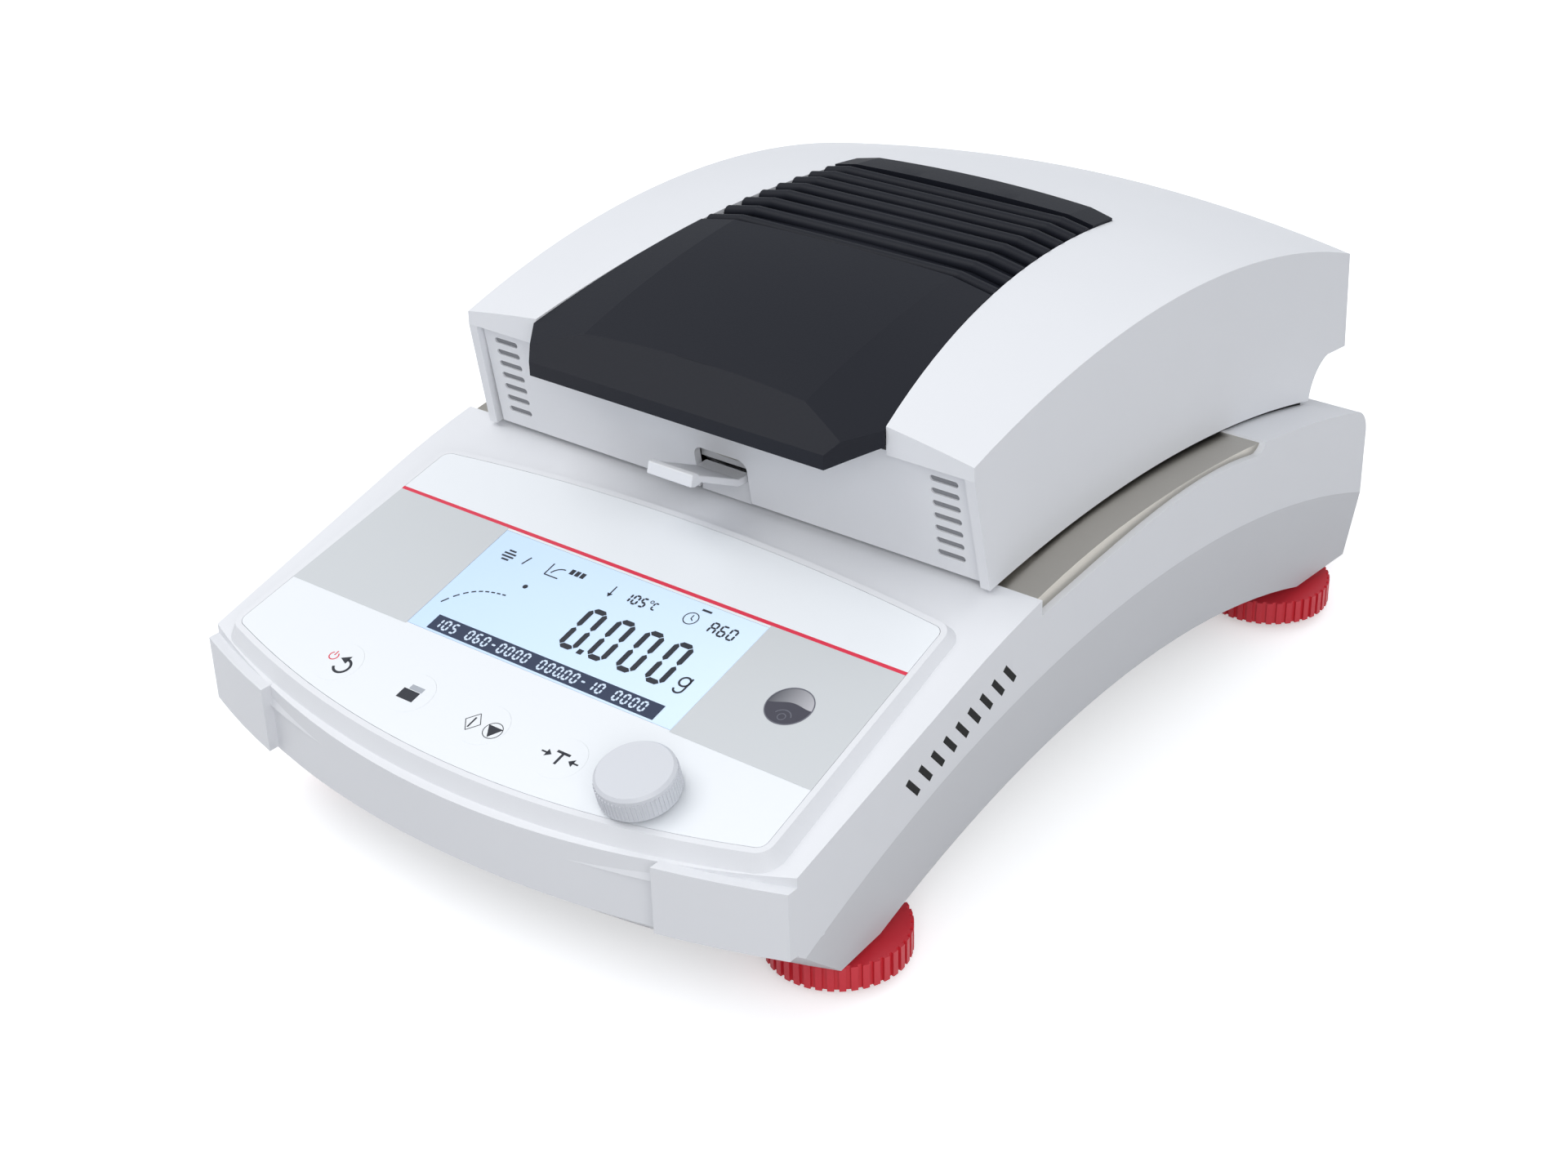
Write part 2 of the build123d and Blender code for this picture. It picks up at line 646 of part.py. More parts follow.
with BuildPart() as pan_support:
    with BuildSketch(Plane.XY.offset(CELL_Z + CELL_SIZE[2])):
        with Locations(chamber_place):
            Circle(SHAFT_RADIUS)
    extrude(amount=SUPPORT_Z - CELL_Z - CELL_SIZE[2])
    with BuildSketch(Plane.XY.offset(SUPPORT_Z)):
        with Locations(chamber_place):
            Rectangle(2 * SUPPORT_ARM, 5)
            Rectangle(5, 2 * SUPPORT_ARM)
    extrude(amount=2)
    with BuildSketch(Plane.XY.offset(SUPPORT_Z + 2)):
        with Locations(chamber_place):
            with PolarLocations(SUPPORT_ARM - 2, 4):
                Circle(1.5)
    extrude(amount=PAN_Z - SUPPORT_Z - 2)
pan_support.part.label = "pan_support"
export_step(pan_support.part, "parts/pan_support.step")

with BuildPart() as sample_pan:
    with BuildSketch(Plane((0, along(CHAMBER), 0), (1, 0, 0), (0, -1, 0))):
        with BuildLine():
            Polyline(
                (0, PAN_Z + PAN_REST_GAP),
                (PAN_RADIUS - 2.4, PAN_Z + PAN_REST_GAP),
                (PAN_RADIUS - 1.4, PAN_Z + PAN_REST_GAP + PAN_DEPTH),
                (PAN_RADIUS, PAN_Z + PAN_REST_GAP + PAN_DEPTH),
                (PAN_RADIUS, PAN_Z + PAN_REST_GAP + PAN_DEPTH + PAN_SHEET),
                (PAN_RADIUS - 2.0, PAN_Z + PAN_REST_GAP + PAN_DEPTH + PAN_SHEET),
                (PAN_RADIUS - 3.0, PAN_Z + PAN_REST_GAP + PAN_SHEET),
                (0, PAN_Z + PAN_REST_GAP + PAN_SHEET),
                close=True,
            )
        make_face()
    revolve(axis=Axis(Vector(0, along(CHAMBER), 0), (0, 0, 1)))
sample_pan.part.label = "sample_pan"
export_step(sample_pan.part, "parts/sample_pan.step")

ring_z = PAN_Z + PAN_REST_GAP + PAN_DEPTH - RING_THICK
with BuildPart() as pan_handler:
    with BuildSketch(Plane.XY.offset(ring_z)):
        with Locations(chamber_place):
            Circle(HANDLER_RING)
            Circle(PAN_RADIUS - 1.0, mode=Mode.SUBTRACT)
    extrude(amount=RING_THICK)
    with BuildSketch(Plane.YZ) as tab_side:
        with BuildLine():
            Polyline(
                (along(CHAMBER) - HANDLER_RING + 3, ring_z),
                (along(CHAMBER) - HANDLER_RING + 3, ring_z + RING_THICK),
                (along(DECK_FRONT) + 4, TAB_BEND_Z + RING_THICK),
                (along(TAB_TIP) + 2, TAB_TIP_Z),
                (along(TAB_TIP), TAB_TIP_Z - 3.5),
                (along(TAB_TIP) + 3.5, TAB_TIP_Z - 3.5),
                (along(DECK_FRONT) + 3.5, TAB_BEND_Z),
                close=True,
            )
        make_face()
    extrude(amount=TAB_WIDTH / 2, both=True)
pan_handler.part.label = "pan_handler"
export_step(pan_handler.part, "parts/pan_handler.step")

with BuildPart() as load_cell:
    with BuildSketch(Plane.XY.offset(CELL_Z)):
        with Locations(chamber_place):
            Rectangle(CELL_SIZE[0], CELL_SIZE[1])
    extrude(amount=CELL_SIZE[2])
    with BuildSketch(Plane.YZ.offset(-CELL_SIZE[0])):
        with Locations((along(CHAMBER), CELL_Z + CELL_SIZE[2] / 2)):
            SlotOverall(46, 8)
    extrude(amount=2 * CELL_SIZE[0], mode=Mode.SUBTRACT)
load_cell.part.label = "load_cell"
export_step(load_cell.part, "parts/load_cell.step")

with BuildPart() as load_cell_mount:
    with BuildSketch(Plane.XY.offset(ARCH_Z + CASE_WALL)):
        with Locations((0, along((CHASSIS_FRONT + CHASSIS_REAR) / 2))):
            Rectangle(CHASSIS_WIDTH, CHASSIS_REAR - CHASSIS_FRONT)
    extrude(amount=CELL_Z - ARCH_Z - CASE_WALL)
load_cell_mount.part.label = "load_cell_mount"
export_step(load_cell_mount.part, "parts/load_cell_mount.step")

with BuildPart() as power_supply:
    with BuildSketch(Plane.XY.offset(CELL_Z)):
        with Locations((0, along(CHASSIS_REAR - SUPPLY_SIZE[1] / 2 - 1))):
            Rectangle(SUPPLY_SIZE[0], SUPPLY_SIZE[1])
    extrude(amount=SUPPLY_SIZE[2])
power_supply.part.label = "power_supply"
export_step(power_supply.part, "parts/power_supply.step")

# Hood: curved shell, ribbed cover, front panel and the heating unit inside
hood_axis = Axis((0, along(HOOD_ARC_CREST), HOOD_EDGE_Z - HOOD_ARC), (1, 0, 0))
hood_section = Plane((0, along(HOOD_ARC_CREST), HOOD_EDGE_Z - HOOD_ARC), (1, 0, 0), (0, -1, 0))


def hood_ring(wall, roof):
    """Ring about the far axis whose outside is the hood's roof, drawn in by a wall and a roof."""
    foot = HOOD_ARC - 60
    spread = (HOOD_FOOT_HALF - HOOD_TOP_HALF) / (HOOD_EDGE_Z - 84) * 60
    with BuildPart() as ring:
        with BuildSketch(hood_section):
            with BuildLine():
                edge_right = (HOOD_TOP_HALF - wall, HOOD_ARC - roof)
                edge_left = (-HOOD_TOP_HALF + wall, HOOD_ARC - roof)
                foot_right = (HOOD_TOP_HALF + spread - wall, foot)
                foot_left = (-HOOD_TOP_HALF - spread + wall, foot)
                ThreePointArc(edge_left, (0, HOOD_ARC + HOOD_CROWN - roof), edge_right)
                Polyline(edge_right, foot_right, foot_left, edge_left)
            make_face()
        revolve(axis=hood_axis)
    return ring.part


with BuildPart() as hood_cavity:
    with BuildSketch(Plane.YZ):
        with BuildLine():
            Polyline(
                (along(LIP) + HOOD_WALL + 0.5, 160),
                (along(LIP) + HOOD_WALL + 0.5, LIP_Z),
                (along(LIP) - 10, LIP_Z),
                (along(LIP) - 10, 60),
                (along(NOTCH_FRONT) - HOOD_WALL, 60),
                (along(NOTCH_FRONT) - HOOD_WALL, 84),
                (along(NOTCH_REAR) - HOOD_WALL - 2, NOTCH_REAR_Z + HOOD_WALL),
                (along(DEPTH) - HOOD_WALL, NOTCH_REAR_Z + HOOD_WALL),
                (along(DEPTH) - HOOD_WALL, 160),
                close=True,
            )
        make_face()
    extrude(amount=HALF_WIDTH, both=True)
    add(hood_ring(HOOD_WALL, HOOD_WALL), mode=Mode.INTERSECT)


def cover_outline(margin):
    """Plan of the dark cover: straight nose with cut corners and sides that close to the back."""
    with BuildSketch() as outline:
        with BuildLine():
            nose_right = (COVER_NOSE_HALF, along(COVER_NOSE))
            nose_left = (-COVER_NOSE_HALF, along(COVER_NOSE))
            lip_right = (COVER_LIP_HALF, along(LIP) - 1)
            lip_left = (-COVER_LIP_HALF, along(LIP) - 1)
            rear_right = (COVER_REAR_HALF, along(COVER_REAR))
            rear_left = (-COVER_REAR_HALF, along(COVER_REAR))
            Polyline(lip_left, nose_left, nose_right, lip_right)
            ThreePointArc(lip_right, (COVER_MID_HALF, along(COVER_MID)), rear_right)
            ThreePointArc(rear_right, (0, along(COVER_REAR) + 3), rear_left)
            ThreePointArc(rear_left, (-COVER_MID_HALF, along(COVER_MID)), lip_left)
        make_face()
        if margin:
            offset(amount=margin, kind=Kind.INTERSECTION)
    return outline.sketch


with BuildPart() as hood_shell:
    with BuildSketch(Plane.YZ):
        with BuildLine():
            foot_front = (along(HOOD_FRONT_FOOT), HOOD_FOOT_Z[0])
            foot_rear = (along(NOTCH_FRONT), HOOD_FOOT_Z[2])
            foot = ThreePointArc(foot_front, (along(HOOD_FOOT_CREST), HOOD_FOOT_Z[1]), foot_rear)
            notch = TangentArc(foot_rear, (along(NOTCH_REAR), NOTCH_REAR_Z), tangent=(0.2, 1))
            Polyline(
                notch @ 1,
                (along(DEPTH), HOOD_REAR_Z),
                (along(DEPTH), 160),
                (along(LIP), 160),
                (along(LIP), LIP_Z),
                foot_front,
            )
        make_face()
    extrude(amount=HALF_WIDTH, both=True)
    add(hood_ring(0, 0), mode=Mode.INTERSECT)
    add(hood_cavity.part, mode=Mode.SUBTRACT)
    with BuildSketch(Plane.XY.offset(LIP_Z - 10)):
        add(cover_outline(RUN_GAP))
    extrude(amount=60, mode=Mode.SUBTRACT)
    with BuildSketch(Plane.XY.offset(HINGE_Z)):
        with Locations((ARM_PLACE, along(HINGE)), (-ARM_PLACE, along(HINGE))):
            Rectangle(ARM_THICK + 2 * RUN_GAP, 2 * EYE_RADIUS + 2)
    extrude(amount=NOTCH_REAR_Z + 2 * HOOD_WALL - HINGE_Z, mode=Mode.SUBTRACT)
hood_shell.part.label = "hood_shell"
export_step(hood_shell.part, "parts/hood_shell.step")

def cover_ring(drop):
    """Ring about the far axis under the cover's top: slightly domed middle and sloping flanks."""
    crest = HOOD_ARC + HOOD_CROWN + COVER_PROUD - drop
    flank = crest - COVER_FLANK_DROP
    reach = COVER_LIP_HALF + 3
    foot = HOOD_ARC + COVER_EDGE_DROP - COVER_THICK - drop
    with BuildPart() as ring:
        with BuildSketch(hood_section):
            with BuildLine():
                ThreePointArc(
                    (-COVER_CREASE_HALF, crest), (0, crest + COVER_CENTRE_RISE), (COVER_CREASE_HALF, crest)
                )
                Polyline((COVER_CREASE_HALF, crest), (reach, flank), (reach, foot), (-reach, foot))
                Polyline((-reach, foot), (-reach, flank), (-COVER_CREASE_HALF, crest))
            make_face()
        revolve(axis=hood_axis)
    return ring.part


# Ribs across the cover: round bars that bend down over its flanks
with BuildPart() as cover_ribs:
    crest_radius = HOOD_ARC + HOOD_CROWN + COVER_PROUD - RIB_RADIUS
    for rib in range(RIB_COUNT):
        place = RIB_ZONE + (rib + 0.5) * RIB_PITCH
        behind = place - HOOD_ARC_CREST
        crest_z = (crest_radius**2 - behind**2) ** 0.5 + HOOD_EDGE_Z - HOOD_ARC
        reach = COVER_LIP_HALF
        flank_z = crest_z - COVER_FLANK_DROP * (reach - COVER_CREASE_HALF) / (reach + 3 - COVER_CREASE_HALF)
        with BuildLine() as rib_path:
            Polyline(
                (-reach, along(place), flank_z),
                (-COVER_CREASE_HALF, along(place), crest_z),
                (COVER_CREASE_HALF, along(place), crest_z),
                (reach, along(place), flank_z),
            )
        with BuildSketch(Plane(rib_path.line @ 0, z_dir=rib_path.line % 0)):
            Circle(RIB_RADIUS)
        sweep(path=rib_path.wires()[0], transition=Transition.RIGHT)

with BuildPart() as rib_pocket:
    with BuildSketch(Plane.XY.offset(LIP_Z)):
        with Locations((0, along(RIB_ZONE + RIB_COUNT * RIB_PITCH / 2))):
            Rectangle(3 * COVER_LIP_HALF, RIB_COUNT * RIB_PITCH)
    extrude(amount=40)
    add(cover_ring(GROOVE_DEPTH), mode=Mode.SUBTRACT)

with BuildPart() as cover_cavity:
    add(cover_ring(COVER_SKIN))
    with BuildSketch(Plane.XY.offset(LIP_Z - 12)):
        add(cover_outline(-COVER_RIM))
        with Locations((0, along(COVER_NOSE))):
            Rectangle(3 * COVER_LIP_HALF, 2 * BROW_DEPTH, mode=Mode.SUBTRACT)
    extrude(amount=60, mode=Mode.INTERSECT)

with BuildPart() as hood_top_cover:
    add(cover_ring(0))
    add(rib_pocket.part, mode=Mode.SUBTRACT)
    add(cover_ribs.part)
    with BuildSketch(Plane.XY.offset(LIP_Z - 10)):
        add(cover_outline(0))
    extrude(amount=60, mode=Mode.INTERSECT)
    nose_rise = (crest_radius + RIB_RADIUS) ** 2 - (HOOD_ARC_CREST - COVER_NOSE) ** 2
    nose_z = nose_rise**0.5 + HOOD_EDGE_Z - HOOD_ARC
    brow_rise = (crest_radius + RIB_RADIUS) ** 2 - (HOOD_ARC_CREST - COVER_NOSE - BROW_DEPTH) ** 2
    brow_z = brow_rise**0.5 + HOOD_EDGE_Z - HOOD_ARC + COVER_CENTRE_RISE
    with BuildSketch(Plane.YZ):
        Polygon(
            (along(COVER_NOSE), nose_z - BROW_DROP),
            (along(COVER_NOSE + BROW_DEPTH), brow_z),
            (along(COVER_NOSE), brow_z),
            align=None,
        )
    extrude(amount=COVER_LIP_HALF, both=True, mode=Mode.SUBTRACT)
    add(cover_cavity.part, mode=Mode.SUBTRACT)
hood_top_cover.part.label = "hood_top_cover"
export_step(hood_top_cover.part, "parts/hood_top_cover.step")

with BuildPart() as hood_front_panel:
    with BuildSketch(Plane.YZ):
        with BuildLine():
            Polyline(
                (along(LIP) + 2.4, LIP_Z - 0.1),
                (along(HOOD_FRONT_FOOT) + 1.5, 86.2),
                (along(HOOD_FRONT_FOOT) + 1.5 + PANEL_THICK, 86.4),
                (along(LIP) + 2.4 + PANEL_THICK, LIP_Z - 0.1),
                close=True,
            )
        make_face()
    extrude(amount=HOOD_TOP_HALF - HOOD_WALL - 0.1, both=True)
    with BuildSketch(Plane.XZ.offset(-along(LIP) + 10)):
        with Locations((0, NOTCH_TOP_Z - NOTCH_WIDTH / 2)):
            RectangleRounded(NOTCH_WIDTH, NOTCH_WIDTH, 3)
        with Locations((0, NOTCH_TOP_Z - NOTCH_WIDTH)):
            Rectangle(NOTCH_WIDTH, NOTCH_WIDTH)
    extrude(amount=-40, mode=Mode.SUBTRACT)
    with BuildSketch(Plane.XZ.offset(-along(LIP) + 10)):
        for vent in range(VENT_COUNT):
            height = VENT_TOP_Z - vent * VENT_PITCH
            with Locations((VENT_PLACE, height), (-VENT_PLACE, height)):
                SlotOverall(VENT_LENGTH, VENT_WIDTH)
    extrude(amount=-40, mode=Mode.SUBTRACT)
hood_front_panel.part.label = "hood_front_panel"
export_step(hood_front_panel.part, "parts/hood_front_panel.step")

# Heating unit: frame across the hood, reflector, lamp ring on two holders, glass and sensor
hood_centre = (0, along(CHAMBER))
with BuildPart() as hood_inner_frame:
    with BuildSketch(Plane.XY.offset(GLASS_Z)):
        with Locations((0, along((HOOD_FRONT_FOOT + NOTCH_FRONT) / 2) - 2)):
            Rectangle(2 * FRAME_HALF, NOTCH_FRONT - HOOD_FRONT_FOOT - 18)
        with Locations(hood_centre):
            Circle(GLASS_RADIUS - 4, mode=Mode.SUBTRACT)
    extrude(amount=SHEET)
    with BuildSketch(Plane.XY.offset(GLASS_Z)):
        with Locations(hood_centre):
            Circle(GLASS_RADIUS + 5)
            Circle(GLASS_RADIUS + 0.3, mode=Mode.SUBTRACT)
    extrude(amount=-GLASS_THICK)
    with BuildSketch(Plane.XY.offset(GLASS_Z - GLASS_THICK)):
        with Locations(hood_centre):
            Circle(GLASS_RADIUS + 5)
            Circle(GLASS_RADIUS - 3, mode=Mode.SUBTRACT)
    extrude(amount=-1.2)
hood_inner_frame.part.label = "hood_inner_frame"
export_step(hood_inner_frame.part, "parts/hood_inner_frame.step")

with BuildPart() as protective_glass:
    with BuildSketch(Plane.XY.offset(GLASS_Z - GLASS_THICK)):
        with Locations(hood_centre):
            Circle(GLASS_RADIUS)
    extrude(amount=GLASS_THICK)
protective_glass.part.label = "protective_glass"
export_step(protective_glass.part, "parts/protective_glass.step")

with BuildPart() as reflector:
    with BuildSketch(Plane((0, along(CHAMBER), 0), (1, 0, 0), (0, -1, 0))):
        with BuildLine():
            Polyline(
                (0, REFLECTOR_Z),
                (REFLECTOR_RADIUS - 10, REFLECTOR_Z),
                (REFLECTOR_RADIUS, REFLECTOR_Z - 8),
                (REFLECTOR_RADIUS, GLASS_Z + SHEET),
                (REFLECTOR_RADIUS + 4, GLASS_Z + SHEET),
                (REFLECTOR_RADIUS + 4, GLASS_Z + SHEET + 1),
                (REFLECTOR_RADIUS + 1, GLASS_Z + SHEET + 1),
                (REFLECTOR_RADIUS + 1, REFLECTOR_Z - 7.5),
                (REFLECTOR_RADIUS - 9.6, REFLECTOR_Z + 1),
                (0, REFLECTOR_Z + 1),
                close=True,
            )
        make_face()
    revolve(axis=Axis(Vector(0, along(CHAMBER), 0), (0, 0, 1)))
reflector.part.label = "reflector"
export_step(reflector.part, "parts/reflector.step")

with BuildPart() as halogen_lamp:
    with BuildSketch(Plane((LAMP_RING, along(CHAMBER), LAMP_Z), (1, 0, 0), (0, -1, 0))):
        Circle(LAMP_RADIUS)
    revolve(axis=Axis(Vector(0, along(CHAMBER), 0), (0, 0, 1)), revolution_arc=330)
halogen_lamp.part.label = "halogen_lamp"
export_step(halogen_lamp.part, "parts/halogen_lamp.step")

for holder, side in (("left", -1), ("right", 1)):
    with BuildPart() as lamp_holder:
        with BuildSketch(Plane.XY.offset(LAMP_Z + LAMP_RADIUS)):
            with Locations((side * LAMP_RING * 0.72, along(CHAMBER) + LAMP_RING * 0.69)):
                Rectangle(9, 9)
        extrude(amount=REFLECTOR_Z - LAMP_Z - LAMP_RADIUS)
    lamp_holder.part.label = f"lamp_holder_{holder}"
    export_step(lamp_holder.part, f"parts/lamp_holder_{holder}.step")

with BuildPart() as temperature_sensor:
    with BuildSketch(Plane.XY.offset(GLASS_Z)):
        with Locations(hood_centre):
            Circle(2)
    extrude(amount=REFLECTOR_Z - GLASS_Z)
temperature_sensor.part.label = "temperature_sensor"
export_step(temperature_sensor.part, "parts/temperature_sensor.step")

# Hinge: two arms of the hood on one pin in the case
for name, side in (("left", -1), ("right", 1)):
    with BuildPart() as hinge_arm:
        with BuildSketch(Plane.YZ.offset(side * ARM_PLACE)):
            with Locations((along(HINGE), HINGE_Z)):
                Circle(EYE_RADIUS)
            with BuildLine():
                Polyline(
                    (along(HINGE) - EYE_RADIUS, HINGE_Z),
                    (along(HINGE) + EYE_RADIUS, HINGE_Z),
                    (along(HINGE) + EYE_RADIUS, ARM_TOP_Z - 6),
                    (along(HINGE) + 1, ARM_TOP_Z),
                    (along(HINGE) - 26, ARM_TOP_Z),
                    (along(HINGE) - 26, ARM_TOP_Z - 10),
                    (along(HINGE) - EYE_RADIUS, ARM_TOP_Z - 14),
                    close=True,
                )
            make_face()
            with Locations((along(HINGE), HINGE_Z)):
                Circle(PIN_RADIUS + SHAFT_FIT, mode=Mode.SUBTRACT)
        extrude(amount=ARM_THICK / 2, both=True)
    hinge_arm.part.label = f"hinge_arm_{name}"
    export_step(hinge_arm.part, f"parts/hinge_arm_{name}.step")

    with BuildPart() as hinge_block:
        with BuildSketch(Plane.XY.offset(HINGE_BLOCK_Z)):
            with Locations((side * ARM_PLACE, along(HINGE) - 1)):
                Rectangle(HINGE_BLOCK_WIDTH, 2 * EYE_RADIUS)
        extrude(amount=HINGE_BLOCK_TOP - HINGE_BLOCK_Z)
        with BuildSketch(Plane.XY.offset(HINGE_Z - EYE_RADIUS - 1.5)):
            with Locations((side * ARM_PLACE, along(HINGE))):
                Rectangle(ARM_THICK + 0.8, 40)
        extrude(amount=40, mode=Mode.SUBTRACT)
        with BuildSketch(Plane.YZ.offset(side * ARM_PLACE - 20)):
            with Locations((along(HINGE), HINGE_Z)):
                Circle(PIN_RADIUS)
        extrude(amount=40, mode=Mode.SUBTRACT)
    hinge_block.part.label = f"hinge_block_{name}"
    export_step(hinge_block.part, f"parts/hinge_block_{name}.step")

    with BuildPart() as hinge_pin:
        with BuildSketch(Plane.YZ.offset(side * ARM_PLACE)):
            with Locations((along(HINGE), HINGE_Z)):
                Circle(PIN_RADIUS)
        extrude(amount=ARM_THICK / 2 + 6, both=True)
    hinge_pin.part.label = f"hinge_pin_{name}"
    export_step(hinge_pin.part, f"parts/hinge_pin_{name}.step")

# Levelling feet: a pad on the table, a knurled wheel on its stud
for foot_name, (foot_x, foot_y) in zip(("front_right", "front_left", "rear_right", "rear_left"), feet):
    with BuildPart() as foot_pad:
        with BuildSketch(Plane.XY):
            with Locations((foot_x, foot_y)):
                Circle(PAD_RADIUS)
        extrude(amount=PAD_HEIGHT)
    foot_pad.part.label = f"foot_pad_{foot_name}"
    export_step(foot_pad.part, f"parts/foot_pad_{foot_name}.step")

    with BuildPart() as foot_wheel:
        with BuildSketch(Plane.XY.offset(WHEEL_TOP - WHEEL_THICK)):
            with Locations((foot_x, foot_y)):
                Circle(WHEEL_RADIUS)
                with PolarLocations(WHEEL_RADIUS, WHEEL_NOTCHES):
                    Rectangle(2 * WHEEL_NOTCH_DEPTH, WHEEL_NOTCH_WIDTH, mode=Mode.SUBTRACT)
        extrude(amount=WHEEL_THICK)
        with BuildSketch(Plane.XY.offset(WHEEL_TOP)):
            with Locations((foot_x, foot_y)):
                Circle(STUD_RADIUS)
        extrude(amount=STUD_TOP - WHEEL_TOP)
    foot_wheel.part.label = f"foot_wheel_{foot_name}"
    export_step(foot_wheel.part, f"parts/foot_wheel_{foot_name}.step")

# Back: socket plate with mains inlet, serial and USB sockets
plate_middle_z = sum(SOCKET_PLATE_Z) / 2
with BuildPart() as socket_plate:
    with BuildSketch(Plane.XZ.offset(-along(CASE_REAR) + 0.5)):
        with Locations((0, plate_middle_z)):
            Rectangle(2 * SOCKET_PLATE_HALF, SOCKET_PLATE_Z[1] - SOCKET_PLATE_Z[0])
        with Locations((INLET_PLACE, plate_middle_z)):
            Rectangle(*INLET_SIZE, mode=Mode.SUBTRACT)
        with Locations((SERIAL_PLACE, plate_middle_z)):
            Rectangle(20, 10, mode=Mode.SUBTRACT)
        with Locations((USB_PLACE, plate_middle_z)):
            Rectangle(12, 8, mode=Mode.SUBTRACT)
    extrude(amount=CASE_WALL - 1)
socket_plate.part.label = "socket_plate"
export_step(socket_plate.part, "parts/socket_plate.step")

with BuildPart() as mains_inlet:
    with BuildSketch(Plane.XZ.offset(-along(CASE_REAR) + 0.5)):
        with Locations((INLET_PLACE, plate_middle_z)):
            Rectangle(INLET_SIZE[0] - 0.2, INLET_SIZE[1] - 0.2)
    extrude(amount=16)
    with BuildSketch(Plane.XZ.offset(-along(CASE_REAR))):
        with Locations((INLET_PLACE, plate_middle_z)):
            Rectangle(INLET_SIZE[0] - 5, INLET_SIZE[1] - 5)
    extrude(amount=13, mode=Mode.SUBTRACT)
    with BuildSketch(Plane.XZ.offset(-along(CASE_REAR) + 14)):
        with Locations((INLET_PLACE, plate_middle_z + 2), (INLET_PLACE - 7, plate_middle_z - 2)):
            Rectangle(2, 4)
        with Locations((INLET_PLACE + 7, plate_middle_z - 2)):
            Rectangle(2, 4)
    extrude(amount=-9)
mains_inlet.part.label = "mains_inlet"
export_step(mains_inlet.part, "parts/mains_inlet.step")

for name, place, width, height in (
    ("serial_port", SERIAL_PLACE, 20, 10),
    ("usb_port", USB_PLACE, 12, 8),
):
    with BuildPart() as port:
        with BuildSketch(Plane.XZ.offset(-along(CASE_REAR) + 0.5)):
            with Locations((place, plate_middle_z)):
                Rectangle(width - 0.2, height - 0.2)
        extrude(amount=9)
        with BuildSketch(Plane.XZ.offset(-along(CASE_REAR))):
            with Locations((place, plate_middle_z)):
                Rectangle(width - 2, height - 2)
        extrude(amount=7, mode=Mode.SUBTRACT)
    port.part.label = name
    export_step(port.part, f"parts/{name}.step")
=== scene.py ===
"""Bench moisture analyzer with a halogen hood: finishes, printed panel, display image and studio."""

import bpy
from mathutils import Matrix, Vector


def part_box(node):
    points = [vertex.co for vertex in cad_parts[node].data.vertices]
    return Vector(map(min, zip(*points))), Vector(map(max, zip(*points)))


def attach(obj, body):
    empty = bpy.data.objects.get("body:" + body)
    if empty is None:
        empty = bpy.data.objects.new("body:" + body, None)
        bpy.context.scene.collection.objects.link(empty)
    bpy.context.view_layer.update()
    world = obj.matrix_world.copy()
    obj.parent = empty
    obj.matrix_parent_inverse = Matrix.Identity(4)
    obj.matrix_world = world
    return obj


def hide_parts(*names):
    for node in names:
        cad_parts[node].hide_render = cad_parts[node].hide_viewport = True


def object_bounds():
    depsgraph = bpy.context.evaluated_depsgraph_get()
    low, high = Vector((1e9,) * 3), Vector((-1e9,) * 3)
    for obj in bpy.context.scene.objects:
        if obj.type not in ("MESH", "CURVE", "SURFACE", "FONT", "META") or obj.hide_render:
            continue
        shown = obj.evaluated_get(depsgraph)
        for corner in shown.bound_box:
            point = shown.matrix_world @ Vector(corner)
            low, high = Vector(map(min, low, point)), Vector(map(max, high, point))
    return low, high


bl_info = {
    "name": "Moisture analyzer dressing",
    "version": (1, 0, 0),
    "blender": (4, 5, 0),
    "location": "3D View > Sidebar > Analyzer",
    "description": "Gives the moisture analyzer its finishes, panel print, display image and studio",
    "category": "Object",
}

import math

import bmesh
import bpy
from mathutils import Matrix, Vector

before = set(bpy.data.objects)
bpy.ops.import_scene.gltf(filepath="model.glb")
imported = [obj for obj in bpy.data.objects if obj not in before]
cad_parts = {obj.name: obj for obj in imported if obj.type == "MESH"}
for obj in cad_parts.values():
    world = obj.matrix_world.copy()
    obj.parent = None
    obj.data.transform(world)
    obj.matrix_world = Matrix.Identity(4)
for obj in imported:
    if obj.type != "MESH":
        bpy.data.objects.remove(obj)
CAD_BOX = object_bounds()

MM = 0.001

# The panel's drawings are in millimetres: across from its middle, up the slope from its reference line
PANEL_BACK = 47.6
FILM_THICK = 0.8
KEY_ROW = -41.0
KEY_PLACES = {"power": -53.8, "print": -26.3, "start": 1.0, "tare": 28.0}
KEY_FILM_RADIUS = 7.13
KEY_FILM_THICK = 0.03
PRINT_LIFT = 0.04
PRINT_THICK = 0.03
KNOB_PLACE = (55.0, -41.0)
KNOB_RADIUS = 10.7
KNOB_FLUTES = 60
KNOB_FLUTE_PROUD = 0.3
KNOB_FLUTE_FOOT = 1.5
KNOB_FLUTE_TOP = 6.6
LEVEL_PLACE = (70.3, 0.6)
LEVEL_RADIUS = 6.7
WINDOW_HALF = 47.5

# Side slots: the first one's place from the upper case's front and lowest edge, then pitch, size and
# lean, and how far the flush insert and its slots lie in the case's side
SLOT_COUNT = 9
SLOT_FIRST = (67.0, 26.5)
SLOT_ROW_SLOPE = 0.28
SLOT_PITCH = 5.6
SLOT_LENGTH = 7.6
SLOT_WIDTH = 1.9
SLOT_LEAN = math.radians(41)
SLOT_DEPTH = 0.06
SLOT_THICK = 0.14
INSERT_DEPTH = 0.12
INSERT_SIZE = (0.2, 54.0, 10.0)

